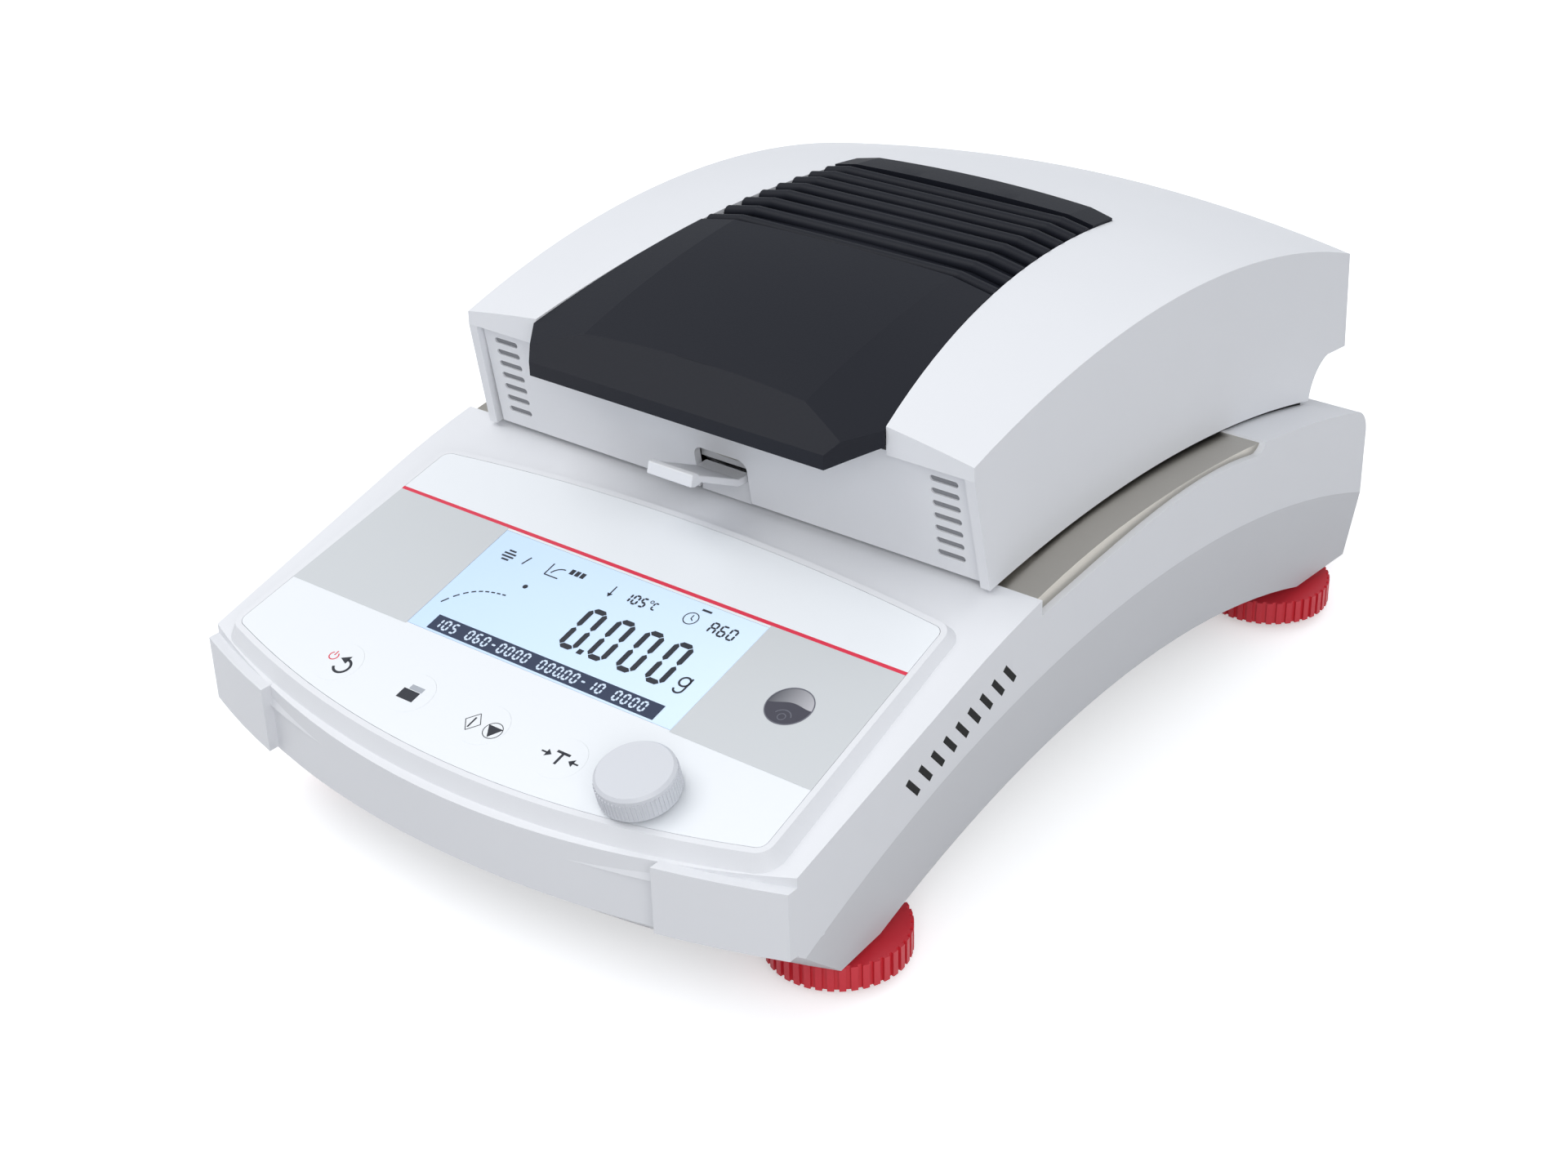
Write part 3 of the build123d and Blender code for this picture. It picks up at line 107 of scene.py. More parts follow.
# Grey sheet in the hood's vents: in from the panel's side, behind its face, and its size
VENT_FILL_INSET = 8.4
VENT_FILL_DEPTH = 0.5
VENT_FILL_SIZE = (13.0, 0.3, 30.0)
HOOD_PANEL_THICK = 2.5

# Pan handler, hood notch and the strip of painted shade under the hood: millimetres behind the case's
# front, and heights above the table. The lip stands higher than the solid's tab does, as the photograph
# shows it.
HANDLER_RING = 49.0
HANDLER_SHEET = 2.0
HANDLER_STEPS = 96
HANDLER_ROOT = 138.0
HANDLER_WIDTH = 16.0
HANDLER_TOP = ((129.0, 88.4), (123.8, 89.8), (123.2, 94.7), (118.5, 94.7), (101.8, 102.8))
HANDLER_LIP = ((100.8, 103.8), (98.8, 104.0), (97.8, 100.6), (100.0, 99.9), (102.6, 100.3))
HANDLER_UNDER = ((118.0, 92.5), (122.5, 92.2), (122.8, 88.2), (128.4, 86.4))
HANDLER_GUARD = ((122.2, 85.6), (122.4, 93.2), (123.0, 93.2), (124.0, 85.6))
NOTCH_LINING = ((124.2, 95.0), (124.2, 102.0), (125.0, 102.0), (125.0, 95.0))
NOTCH_HALF = 10.5
HOOD_FOOT = ((120.2, 85.3), (213.0, 87.6), (297.0, 72.7))
SHADE_STRIP_DROP = 1.4
SHADE_STRIP_STEPS = 40
SHADE_STRIP_START = 0.12
SHADE_STRIP_SPAN = 0.86
SHADE_STRIP_TAPER = 1.4
SHADE_STRIP_INSET = 1.2
SHADE_STRIP_THICK = 1.0
SHADE_STRIP_ROOT = 2.0

# Studio: softboxes by place from the object's middle in metres, width and watts, and the ground
LAMPS = (
    ("softbox_key", (-0.55, -0.35, 1.05), 0.9, 6.4),
    ("softbox_fill", (0.85, -0.85, 0.6), 0.9, 6.0),
    ("softbox_back", (0.15, 1.0, 0.95), 0.9, 2.6),
)
WORLD_FILL = 0.62
FLOOR_GLOW = 0.36
FLOOR_REACH = 6.0

# Camera, fitted to the photograph: its axes, its place in millimetres, and its lens
CAMERA_RIGHT = (0.7860, 0.6176, -0.0265)
CAMERA_BACK = (0.5494, -0.6783, 0.4880)
CAMERA_PLACE = (408.2, -517.9, 407.3)
CAMERA_LENS = 57.42
CAMERA_SENSOR = 36.0

# Grey band beside the display: half widths at its front and back edges
BAND_FRONT_HALF = 92.9
BAND_BACK_HALF = 90.8


def linear_colour(hex_code):
    """A hex sRGB colour as linear red, green, blue and alpha."""
    channels = [int(hex_code.lstrip("#")[i : i + 2], 16) / 255 for i in (0, 2, 4)]
    return [c / 12.92 if c <= 0.04045 else ((c + 0.055) / 1.055) ** 2.4 for c in channels] + [1.0]


def hex_default(hex_code):
    """A hex sRGB colour as the default of a colour property, which Blender keeps linear."""
    return linear_colour(hex_code)[:3]


class ANALYZER_PG_colours(bpy.types.PropertyGroup):
    """Colours that a user would change."""

    case_white: bpy.props.FloatVectorProperty(
        name="Case white",
        description="Moulded ABS of the upper case and the hood",
        subtype="COLOR",
        default=hex_default("#E4E5E8"),
        min=0,
        max=1,
    )
    case_grey: bpy.props.FloatVectorProperty(
        name="Case grey",
        description="Moulded ABS of the lower case",
        subtype="COLOR",
        default=hex_default("#D4D5D8"),
        min=0,
        max=1,
    )
    cover_black: bpy.props.FloatVectorProperty(
        name="Cover black",
        description="Heat-resistant plastic of the hood's ribbed cover",
        subtype="COLOR",
        default=hex_default("#1A1C24"),
        min=0,
        max=1,
    )
    foot_red: bpy.props.FloatVectorProperty(
        name="Foot red",
        description="Polypropylene of the levelling wheels",
        subtype="COLOR",
        default=hex_default("#D8323F"),
        min=0,
        max=1,
    )
    print_red: bpy.props.FloatVectorProperty(
        name="Print red",
        description="Ink of the line across the panel",
        subtype="COLOR",
        default=hex_default("#DE2A48"),
        min=0,
        max=1,
    )
    print_grey: bpy.props.FloatVectorProperty(
        name="Print grey",
        description="Ink of the band beside the display",
        subtype="COLOR",
        default=hex_default("#CDD0D2"),
        min=0,
        max=1,
    )
    ink: bpy.props.FloatVectorProperty(
        name="Symbol ink",
        description="Ink of the key symbols and the display's segments",
        subtype="COLOR",
        default=hex_default("#1A1F2B"),
        min=0,
        max=1,
    )


class ANALYZER_PG_sizes(bpy.types.PropertyGroup):
    """Sizes that a user would change, in metres or degrees."""

    panel_angle: bpy.props.FloatProperty(
        name="Panel angle",
        description="Slope of the control panel",
        subtype="ANGLE",
        default=math.radians(14.67),
    )
    band_front: bpy.props.FloatProperty(
        name="Band front",
        description="Front edge of the grey band, along the panel from its reference line",
        unit="LENGTH",
        default=-20.7 * MM,
    )
    band_back: bpy.props.FloatProperty(
        name="Band back",
        description="Back edge of the grey band, along the panel from its reference line",
        unit="LENGTH",
        default=23.0 * MM,
    )
    line_width: bpy.props.FloatProperty(
        name="Line width",
        description="Width of the red line behind the band",
        unit="LENGTH",
        default=1.2 * MM,
    )
    digit_height: bpy.props.FloatProperty(
        name="Digit height",
        description="Height of the main digits on the display",
        unit="LENGTH",
        default=16.4 * MM,
    )
    edge_round: bpy.props.FloatProperty(
        name="Edge rounding",
        description="Rounding of the moulded edges",
        unit="LENGTH",
        default=0.7 * MM,
    )


def colours():
    """The scene's colour settings."""
    return bpy.context.scene.analyzer_colours


def sizes():
    """The scene's size settings."""
    return bpy.context.scene.analyzer_sizes


def add_node(tree, kind, settings=None, links=None):
    """Adds a node, sets its sockets or attributes by name, and links its inputs."""
    made = tree.nodes.new(kind)
    for name, value in (settings or {}).items():
        if name in made.inputs:
            made.inputs[name].default_value = value
        else:
            setattr(made, name, value)
    for name, source in (links or {}).items():
        tree.links.new(source, made.inputs[name])
    return made


def start_material(name):
    """A new material with an empty node tree."""
    made = bpy.data.materials.new(name)
    made.use_nodes = True
    made.node_tree.nodes.clear()
    return made, made.node_tree


def finish_material(made, shader):
    """Links a shader to the material's output."""
    output = add_node(made.node_tree, "ShaderNodeOutputMaterial")
    made.node_tree.links.new(shader, output.inputs["Surface"])
    return made


def grain_scale(size_mm):
    """Noise scale whose features are about a size in millimetres, on coordinates in metres."""
    return 1 / (size_mm * MM)


def moulded_plastic(
    name, colour, roughness, grain_mm, grain_depth_mm, variation=0.02, gloss=0.5
):
    """Injection-moulded plastic: even colour, satin gloss and a spark-eroded grain.

    The real grain is finer. It is drawn at about half a millimetre so that it shows.
    """
    made, tree = start_material(name)
    place = add_node(tree, "ShaderNodeTexCoord").outputs["Object"]
    cloud = add_node(
        tree, "ShaderNodeTexNoise", {"Scale": grain_scale(60), "Detail": 3.0}, {"Vector": place}
    )
    tint = add_node(
        tree,
        "ShaderNodeMix",
        {"data_type": "RGBA", "blend_type": "MIX"},
        {"Factor": cloud.outputs["Fac"]},
    )
    shade = [c * (1 - variation) for c in colour[:3]] + [1.0]
    light = [min(1.0, c * (1 + variation)) for c in colour[:3]] + [1.0]
    tint.inputs[6].default_value = shade
    tint.inputs[7].default_value = light
    grain = add_node(
        tree,
        "ShaderNodeTexNoise",
        {"Scale": grain_scale(grain_mm), "Detail": 4.0, "Roughness": 0.6},
        {"Vector": place},
    )
    sheen_spread = add_node(
        tree,
        "ShaderNodeMapRange",
        {"To Min": roughness - 0.05, "To Max": roughness + 0.05},
        {"Value": grain.outputs["Fac"]},
    )
    bump = add_node(
        tree,
        "ShaderNodeBump",
        {"Strength": 0.5, "Distance": grain_depth_mm * MM},
        {"Height": grain.outputs["Fac"]},
    )
    shader = add_node(
        tree,
        "ShaderNodeBsdfPrincipled",
        {"IOR": 1.53, "Specular IOR Level": gloss},
        {
            "Base Color": tint.outputs[2],
            "Roughness": sheen_spread.outputs["Result"],
            "Normal": bump.outputs["Normal"],
        },
    )
    return finish_material(made, shader.outputs["BSDF"])


def printed_film(name, colour, roughness=0.32):
    """Screen-printed polyester film: clean colour under a slightly embossed gloss."""
    made, tree = start_material(name)
    place = add_node(tree, "ShaderNodeTexCoord").outputs["Object"]
    emboss = add_node(
        tree, "ShaderNodeTexNoise", {"Scale": grain_scale(0.5), "Detail": 2.0}, {"Vector": place}
    )
    bump = add_node(
        tree,
        "ShaderNodeBump",
        {"Strength": 0.15, "Distance": 0.02 * MM},
        {"Height": emboss.outputs["Fac"]},
    )
    spread = add_node(
        tree,
        "ShaderNodeMapRange",
        {"To Min": roughness - 0.03, "To Max": roughness + 0.03},
        {"Value": emboss.outputs["Fac"]},
    )
    shader = add_node(
        tree,
        "ShaderNodeBsdfPrincipled",
        {"Base Color": colour, "IOR": 1.57},
        {"Normal": bump.outputs["Normal"], "Roughness": spread.outputs["Result"]},
    )
    return finish_material(made, shader.outputs["BSDF"])


def graded_film(name, left, right, node, roughness, glow):
    """Satin film that fades from one colour to another across a node, lit from behind by its glow."""
    made, tree = start_material(name)
    place = add_node(tree, "ShaderNodeTexCoord").outputs["Object"]
    axes = add_node(tree, "ShaderNodeSeparateXYZ", {}, {"Vector": place})
    low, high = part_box(node)
    across = add_node(
        tree,
        "ShaderNodeMapRange",
        {"From Min": low.x, "From Max": high.x},
        {"Value": axes.outputs["X"]},
    )
    ramp = add_node(tree, "ShaderNodeValToRGB", {}, {"Fac": across.outputs["Result"]})
    ramp.color_ramp.elements[0].color = linear_colour(left)
    ramp.color_ramp.elements[1].color = linear_colour(right)
    haze = add_node(
        tree, "ShaderNodeTexNoise", {"Scale": grain_scale(0.6), "Detail": 2.0}, {"Vector": place}
    )
    spread = add_node(
        tree,
        "ShaderNodeMapRange",
        {"To Min": roughness - 0.04, "To Max": roughness + 0.04},
        {"Value": haze.outputs["Fac"]},
    )
    shader = add_node(
        tree,
        "ShaderNodeBsdfPrincipled",
        {"IOR": 1.49, "Emission Strength": glow},
        {
            "Base Color": ramp.outputs["Color"],
            "Emission Color": ramp.outputs["Color"],
            "Roughness": spread.outputs["Result"],
        },
    )
    return finish_material(made, shader.outputs["BSDF"])


def flat_ink(name, colour, roughness=0.5):
    """Ink: even colour with faint mottling of its gloss."""
    made, tree = start_material(name)
    place = add_node(tree, "ShaderNodeTexCoord").outputs["Object"]
    mottle = add_node(
        tree, "ShaderNodeTexNoise", {"Scale": grain_scale(0.8)}, {"Vector": place}
    )
    spread = add_node(
        tree,
        "ShaderNodeMapRange",
        {"To Min": roughness - 0.05, "To Max": roughness + 0.05},
        {"Value": mottle.outputs["Fac"]},
    )
    shader = add_node(
        tree,
        "ShaderNodeBsdfPrincipled",
        {"Base Color": colour},
        {"Roughness": spread.outputs["Result"]},
    )
    return finish_material(made, shader.outputs["BSDF"])


def brushed_metal(name, colour, roughness, line_mm, stretch=(1, 40, 40), depth_mm=0.01):
    """Brushed or turned metal: fine lines one way, seen as streaks in its gloss."""
    made, tree = start_material(name)
    place = add_node(tree, "ShaderNodeTexCoord").outputs["Object"]
    lines = add_node(tree, "ShaderNodeMapping", {"Scale": stretch}, {"Vector": place})
    streak = add_node(
        tree,
        "ShaderNodeTexNoise",
        {"Scale": grain_scale(line_mm * 40), "Detail": 4.0},
        {"Vector": lines.outputs["Vector"]},
    )
    spread = add_node(
        tree,
        "ShaderNodeMapRange",
        {"To Min": roughness - 0.08, "To Max": roughness + 0.1},
        {"Value": streak.outputs["Fac"]},
    )
    bump = add_node(
        tree,
        "ShaderNodeBump",
        {"Strength": 0.3, "Distance": depth_mm * MM},
        {"Height": streak.outputs["Fac"]},
    )
    shader = add_node(
        tree,
        "ShaderNodeBsdfPrincipled",
        {"Base Color": colour, "Metallic": 1.0},
        {"Roughness": spread.outputs["Result"], "Normal": bump.outputs["Normal"]},
    )
    return finish_material(made, shader.outputs["BSDF"])


def clear_glass(name, colour, roughness=0.02):
    """Clear glass or acrylic: see-through, with faint smears in its gloss."""
    made, tree = start_material(name)
    place = add_node(tree, "ShaderNodeTexCoord").outputs["Object"]
    smear = add_node(
        tree, "ShaderNodeTexNoise", {"Scale": grain_scale(12), "Detail": 3.0}, {"Vector": place}
    )
    spread = add_node(
        tree,
        "ShaderNodeMapRange",
        {"To Min": roughness, "To Max": roughness + 0.06},
        {"Value": smear.outputs["Fac"]},
    )
    shader = add_node(
        tree,
        "ShaderNodeBsdfPrincipled",
        {"Base Color": colour, "IOR": 1.5, "Transmission Weight": 0.85},
        {"Roughness": spread.outputs["Result"]},
    )
    return finish_material(made, shader.outputs["BSDF"])


def studio_floor(name):
    """Pale floor that the camera and reflections see as white, with the object's shadow."""
    made, tree = start_material(name)
    rays = add_node(tree, "ShaderNodeLightPath")
    camera_or_gloss = add_node(tree, "ShaderNodeMath", {"operation": "MAXIMUM"})
    tree.links.new(rays.outputs["Is Camera Ray"], camera_or_gloss.inputs[0])
    tree.links.new(rays.outputs["Is Glossy Ray"], camera_or_gloss.inputs[1])
    seen = add_node(
        tree,
        "ShaderNodeMixRGB",
        {"Color1": linear_colour("#B4B4B6"), "Color2": linear_colour("#FFFFFF")},
        {"Fac": camera_or_gloss.outputs["Value"]},
    )
    paper = add_node(
        tree, "ShaderNodeBsdfDiffuse", {"Roughness": 0.6}, {"Color": seen.outputs["Color"]}
    )
    lift = add_node(tree, "ShaderNodeMath", {"operation": "MULTIPLY"})
    tree.links.new(camera_or_gloss.outputs["Value"], lift.inputs[0])
    lift.inputs[1].default_value = FLOOR_GLOW
    glow = add_node(
        tree,
        "ShaderNodeEmission",
        {"Color": linear_colour("#FFFFFF")},
        {"Strength": lift.outputs["Value"]},
    )
    both = add_node(tree, "ShaderNodeAddShader")
    tree.links.new(paper.outputs["BSDF"], both.inputs[0])
    tree.links.new(glow.outputs["Emission"], both.inputs[1])
    return finish_material(made, both.outputs["Shader"])


materials = {}


def opaque(colour):
    """A colour property as red, green, blue and a full alpha."""
    return [*colour, 1.0]


def make_materials():
    """Every finish of the object, by the name that the pieces use."""
    ink = colours()
    # Moulded ABS: pale and satin, with a fine spark-eroded grain that breaks up highlights
    white, grey = opaque(ink.case_white), opaque(ink.case_grey)
    materials["case_white"] = moulded_plastic("moulded_abs_white", white, 0.48, 0.45, 0.03)
    materials["case_grey"] = moulded_plastic("moulded_abs_grey", grey, 0.5, 0.45, 0.03)
    silver = linear_colour("#D3D5DA")
    materials["knob"] = moulded_plastic("moulded_abs_silver", silver, 0.4, 0.4, 0.03)
    # Glass-filled nylon: near black, slightly coarser grain, hardly any gloss
    black = opaque(ink.cover_black)
    materials["cover_black"] = moulded_plastic(
        "moulded_nylon_black", black, 0.5, 0.6, 0.04, variation=0.06, gloss=0.16
    )
    # Polypropylene: a clear red with a soft sheen
    red = opaque(ink.foot_red)
    materials["foot_red"] = moulded_plastic("moulded_polypropylene_red", red, 0.42, 0.5, 0.03)
    # Rubber: a dull black that hardly reflects
    dull = linear_colour("#1B1B1C")
    materials["rubber"] = moulded_plastic("moulded_rubber_black", dull, 0.8, 0.5, 0.05)
    # Polycarbonate: a plain satin black
    socket = linear_colour("#17181A")
    materials["socket_black"] = moulded_plastic(
        "moulded_polycarbonate_black", socket, 0.5, 0.5, 0.03
    )
    # Epoxy board: green under a varnish
    board = linear_colour("#1F5A35")
    materials["board"] = moulded_plastic("epoxy_board_green", board, 0.4, 0.8, 0.02)
    # Printed polyester film: clean white or grey, with a slight emboss in its gloss
    materials["film_white"] = printed_film("printed_polyester_white", linear_colour("#EDF0F3"))
    materials["film_grey"] = printed_film("screen_ink_grey", opaque(ink.print_grey))
    materials["film_red"] = printed_film("screen_ink_red", opaque(ink.print_red))
    # Inks: flat and matt, darker or lighter than the film under them
    materials["ink"] = flat_ink("screen_ink_black", opaque(ink.ink))
    materials["ink_grey"] = flat_ink("screen_ink_mid_grey", linear_colour("#A9AEB6"))
    # Liquid crystal: a pale blue with a faint light behind it, and its dark and light segments
    materials["display"] = graded_film(
        "liquid_crystal_backlit", "#C4DBF5", "#D3E6FA", "lcd_window", 0.2, 0.15
    )
    materials["display_bar"] = flat_ink("liquid_crystal_dark", linear_colour("#22304E"), 0.35)
    materials["display_light"] = flat_ink("liquid_crystal_light", linear_colour("#D6E6F8"), 0.3)
    # Metals: warm brushed steel, bright foil, turned steel and a polished reflector
    steel, foil = linear_colour("#BDB9B1"), linear_colour("#D5D6D8")
    materials["stainless"] = brushed_metal("stainless_steel_brushed", steel, 0.38, 0.25)
    materials["aluminium"] = brushed_metal("aluminium_foil_pressed", foil, 0.3, 0.4)
    materials["steel"] = brushed_metal("steel_turned", linear_colour("#9FA0A3"), 0.32, 0.3)
    mirror = linear_colour("#E3DCC6")
    materials["mirror"] = brushed_metal(
        "aluminium_polished_reflector", mirror, 0.12, 0.6, depth_mm=0.004
    )
    # Glass: clear, with faint smears in its gloss
    materials["glass"] = clear_glass("borosilicate_glass", linear_colour("#F2F7F6"))
    materials["quartz"] = clear_glass("quartz_glass", linear_colour("#F7F6F0"))
    materials["level_glass"] = clear_glass("acrylic_cast", linear_colour("#E9ECEE"))
    # Level: a ground that pales to the right in a painted reflection, with a dark crescent of painted
    # shade and a faint ring
    materials["level_painted_reflection_disc"] = graded_film(
        "level_ground_painted_reflection", "#505259", "#C2C1C6", "level_vial", 0.25, 0.0
    )
    materials["level_painted_shade"] = flat_ink("level_crescent_painted_shade", linear_colour("#45444F"), 0.2)
    materials["level_ring"] = flat_ink("level_ring_grey", linear_colour("#666772"), 0.3)
    # Painted shade: a matt black for the dark of the side slots, and for the line of shade under the
    # hood
    materials["dark"] = flat_ink("painted_shade_matt_black", linear_colour("#030303"), 0.9)
    # A dull grey sheet that fills the hood's vents and makes them darker
    materials["gauze_grey"] = flat_ink("nylon_gauze_grey", linear_colour("#8B8C90"), 0.9)
    # Paper: a white ground that keeps a soft shadow
    materials["floor"] = studio_floor("matt_paper_pale")


NODE_FINISH = {
    "case_white": ["base_upper_housing", "hood_shell", "hood_front_panel", "pan_handler"],
    "case_grey": ["base_lower_housing", "lamp_holder_left", "lamp_holder_right"],
    "cover_black": ["hood_top_cover"],
    "film_white": ["panel_overlay", "key_power", "key_print", "key_start", "key_tare"],
    "display": ["lcd_window"],
    "socket_black": ["lcd_module", "socket_plate", "mains_inlet"],
    "level_glass": ["level_vial"],
    "board": ["main_board"],
    "steel": [
        "encoder_body",
        "encoder_plunger",
        "hinge_block_left",
        "hinge_block_right",
        "hinge_pin_left",
        "hinge_pin_right",
        "hinge_arm_left",
        "hinge_arm_right",
        "power_supply",
        "serial_port",
        "usb_port",
        "temperature_sensor",
    ],
    "stainless": ["chamber_liner", "heat_shield", "pan_support", "hood_inner_frame"],
    "aluminium": ["sample_pan", "load_cell", "load_cell_mount"],
    "mirror": ["reflector"],
    "glass": ["protective_glass"],
    "quartz": ["halogen_lamp"],
    "knob": ["control_knob"],
    "foot_red": [f"foot_wheel_{end}_{side}" for end in ("front", "rear") for side in ("left", "right")],
    "rubber": [f"foot_pad_{end}_{side}" for end in ("front", "rear") for side in ("left", "right")],
}


def round_edges(piece, width):
    """Rounds the moulded edges of a solid or piece."""
    bevel = piece.modifiers.new("moulded_edge", "BEVEL")
    bevel.width = width
    bevel.segments = 3
    bevel.limit_method = "ANGLE"
    bevel.angle_limit = math.radians(30)
    bevel.harden_normals = True


ROUNDED_NODES = (
    "base_upper_housing",
    "base_lower_housing",
    "hood_shell",
    "hood_front_panel",
    "hood_top_cover",
    "control_knob",
)


def dress_nodes():
    """Gives each solid its finish and rounds the moulded edges."""
    for finish, names in NODE_FINISH.items():
        for name in names:
            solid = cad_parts[name]
            solid.data.materials.clear()
            solid.data.materials.append(materials[finish])
    for name in ROUNDED_NODES:
        round_edges(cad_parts[name], sizes().edge_round)


def panel_matrix():
    """Panel drawing in millimetres to the row frame: x across, y up the slope, z off the panel."""
    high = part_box("panel_overlay")[1]
    angle = sizes().panel_angle
    origin = Vector(
        (
            0,
            high.y - PANEL_BACK * MM * math.cos(angle) - FILM_THICK * MM * math.sin(angle),
            high.z - PANEL_BACK * MM * math.sin(angle),
        )
    )
    return Matrix.Translation(origin) @ Matrix.Rotation(angle, 4, "X") @ Matrix.Scale(MM, 4)


def add_piece(name, mesh_data, material, body):
    """A new object from a bmesh, finished and riding on a body."""
    mesh = bpy.data.meshes.new(name)
    mesh_data.to_mesh(mesh)
    mesh_data.free()
    piece = bpy.data.objects.new(name, mesh)
    bpy.context.scene.collection.objects.link(piece)
    mesh.materials.append(material)
    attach(piece, body)
    return piece


def add_polygon(mesh_data, outline, lift=PRINT_LIFT, thick=PRINT_THICK):
    """A thin printed patch with a given outline, in panel coordinates."""
    lower = [mesh_data.verts.new((x, y, lift)) for x, y in outline]
    upper = [mesh_data.verts.new((x, y, lift + thick)) for x, y in outline]
    mesh_data.faces.new(upper)
    mesh_data.faces.new(lower[::-1])
    for i in range(len(outline)):
        j = (i + 1) % len(outline)
        mesh_data.faces.new((lower[i], lower[j], upper[j], upper[i]))


def add_stroke(mesh_data, start, end, width, lift=PRINT_LIFT):
    """A straight printed stroke with square ends."""
    a, b = Vector(start), Vector(end)
    side = (b - a).normalized().orthogonal() * width / 2
    add_polygon(mesh_data, [a - side, b - side, b + side, a + side], lift)


def add_arc(mesh_data, centre, radius, start, end, width, lift=PRINT_LIFT, steps=24):
    """A printed arc of a given width, from one angle to another in degrees."""
    for i in range(steps):
        t0 = math.radians(start + (end - start) * i / steps)
        t1 = math.radians(start + (end - start) * (i + 1) / steps)
        inner, outer = radius - width / 2, radius + width / 2
        cx, cy = centre
        add_polygon(
            mesh_data,
            [
                (cx + inner * math.cos(t0), cy + inner * math.sin(t0)),
                (cx + outer * math.cos(t0), cy + outer * math.sin(t0)),
                (cx + outer * math.cos(t1), cy + outer * math.sin(t1)),
                (cx + inner * math.cos(t1), cy + inner * math.sin(t1)),
            ],
            lift,
        )


SEGMENTS = {
    "0": "abcdef",
    "1": "bc",
    "2": "abged",
    "3": "abgcd",
    "4": "fgbc",
    "5": "afgcd",
    "6": "afgcde",
    "7": "abc",
    "8": "abcdefg",
    "9": "abcdfg",
    "A": "abcefg",
    "C": "adef",
    "-": "g",
    " ": "",
}


def add_rectangle(mesh_data, left, front, right, back, lift=PRINT_LIFT):
    """A printed rectangle."""
    add_polygon(mesh_data, [(left, front), (right, front), (right, back), (left, back)], lift)


def add_disc(mesh_data, centre, radius, lift, thick, steps=48):
    """A round patch."""
    turns = [2 * math.pi * i / steps for i in range(steps)]
    rim = [(centre[0] + radius * math.cos(t), centre[1] + radius * math.sin(t)) for t in turns]
    add_polygon(mesh_data, rim, lift, thick)


def add_digits(mesh_data, text, left, bottom, width, height, pitch, bar, lift=PRINT_LIFT):
    """Seven-segment digits, each segment a hexagon; a point takes no place of its own."""
    corners = {
        "a": ((0, 1), (1, 1)),
        "b": ((1, 1), (1, 0.5)),
        "c": ((1, 0.5), (1, 0)),
        "d": ((0, 0), (1, 0)),
        "e": ((0, 0.5), (0, 0)),
        "f": ((0, 1), (0, 0.5)),
        "g": ((0, 0.5), (1, 0.5)),
    }
    inner = Vector((width - bar, height - bar))
    x = left + bar / 2
    for sign in text:
        if sign == ".":
            point = x - pitch + width + (pitch - width - bar) / 2
            add_rectangle(mesh_data, point - bar / 2, bottom, point + bar / 2, bottom + bar, lift)
            continue
        for segment in SEGMENTS[sign]:
            a, b = (Vector((u * inner.x, v * inner.y)) for u, v in corners[segment])
            along = (b - a).normalized() * bar / 2
            a, b = a + along * 1.25, b - along * 1.25
            side = Vector((-along.y, along.x))
            hexagon = [a - along, a - side, b - side, b + along, b + side, a + side]
            add_polygon(
                mesh_data, [(x + point.x, bottom + bar / 2 + point.y) for point in hexagon], lift
            )
        x += pitch


def place_on_panel(mesh_data):
    """Moves a mesh from panel coordinates into the row frame."""
    bmesh.ops.transform(mesh_data, matrix=panel_matrix(), verts=mesh_data.verts)
    bmesh.ops.recalc_face_normals(mesh_data, faces=mesh_data.faces)


class ANALYZER_OT_finishes(bpy.types.Operator):
    """Makes the materials and gives every solid its finish"""

    bl_idname = "analyzer.finishes"
    bl_label = "Finishes"

    def execute(self, context):
        make_materials()
        dress_nodes()
        return {"FINISHED"}


class ANALYZER_OT_panel_print(bpy.types.Operator):
    """Prints the grey band and the red line on the panel"""

    bl_idname = "analyzer.panel_print"
    bl_label = "Panel print"

    def execute(self, context):
        front, back = sizes().band_front / MM, sizes().band_back / MM
        band = bmesh.new()
        for side in (-1, 1):
            add_polygon(
                band,
                [
                    (side * WINDOW_HALF, front),
                    (side * BAND_FRONT_HALF, front),
                    (side * BAND_BACK_HALF, back),
                    (side * WINDOW_HALF, back),
                ],
            )
        place_on_panel(band)
        add_piece("panel_band", band, materials["film_grey"], "base")

        line = bmesh.new()
        add_rectangle(line, -BAND_BACK_HALF, back, BAND_BACK_HALF, back + sizes().line_width / MM)
        place_on_panel(line)
        add_piece("panel_line", line, materials["film_red"], "base")
        return {"FINISHED"}


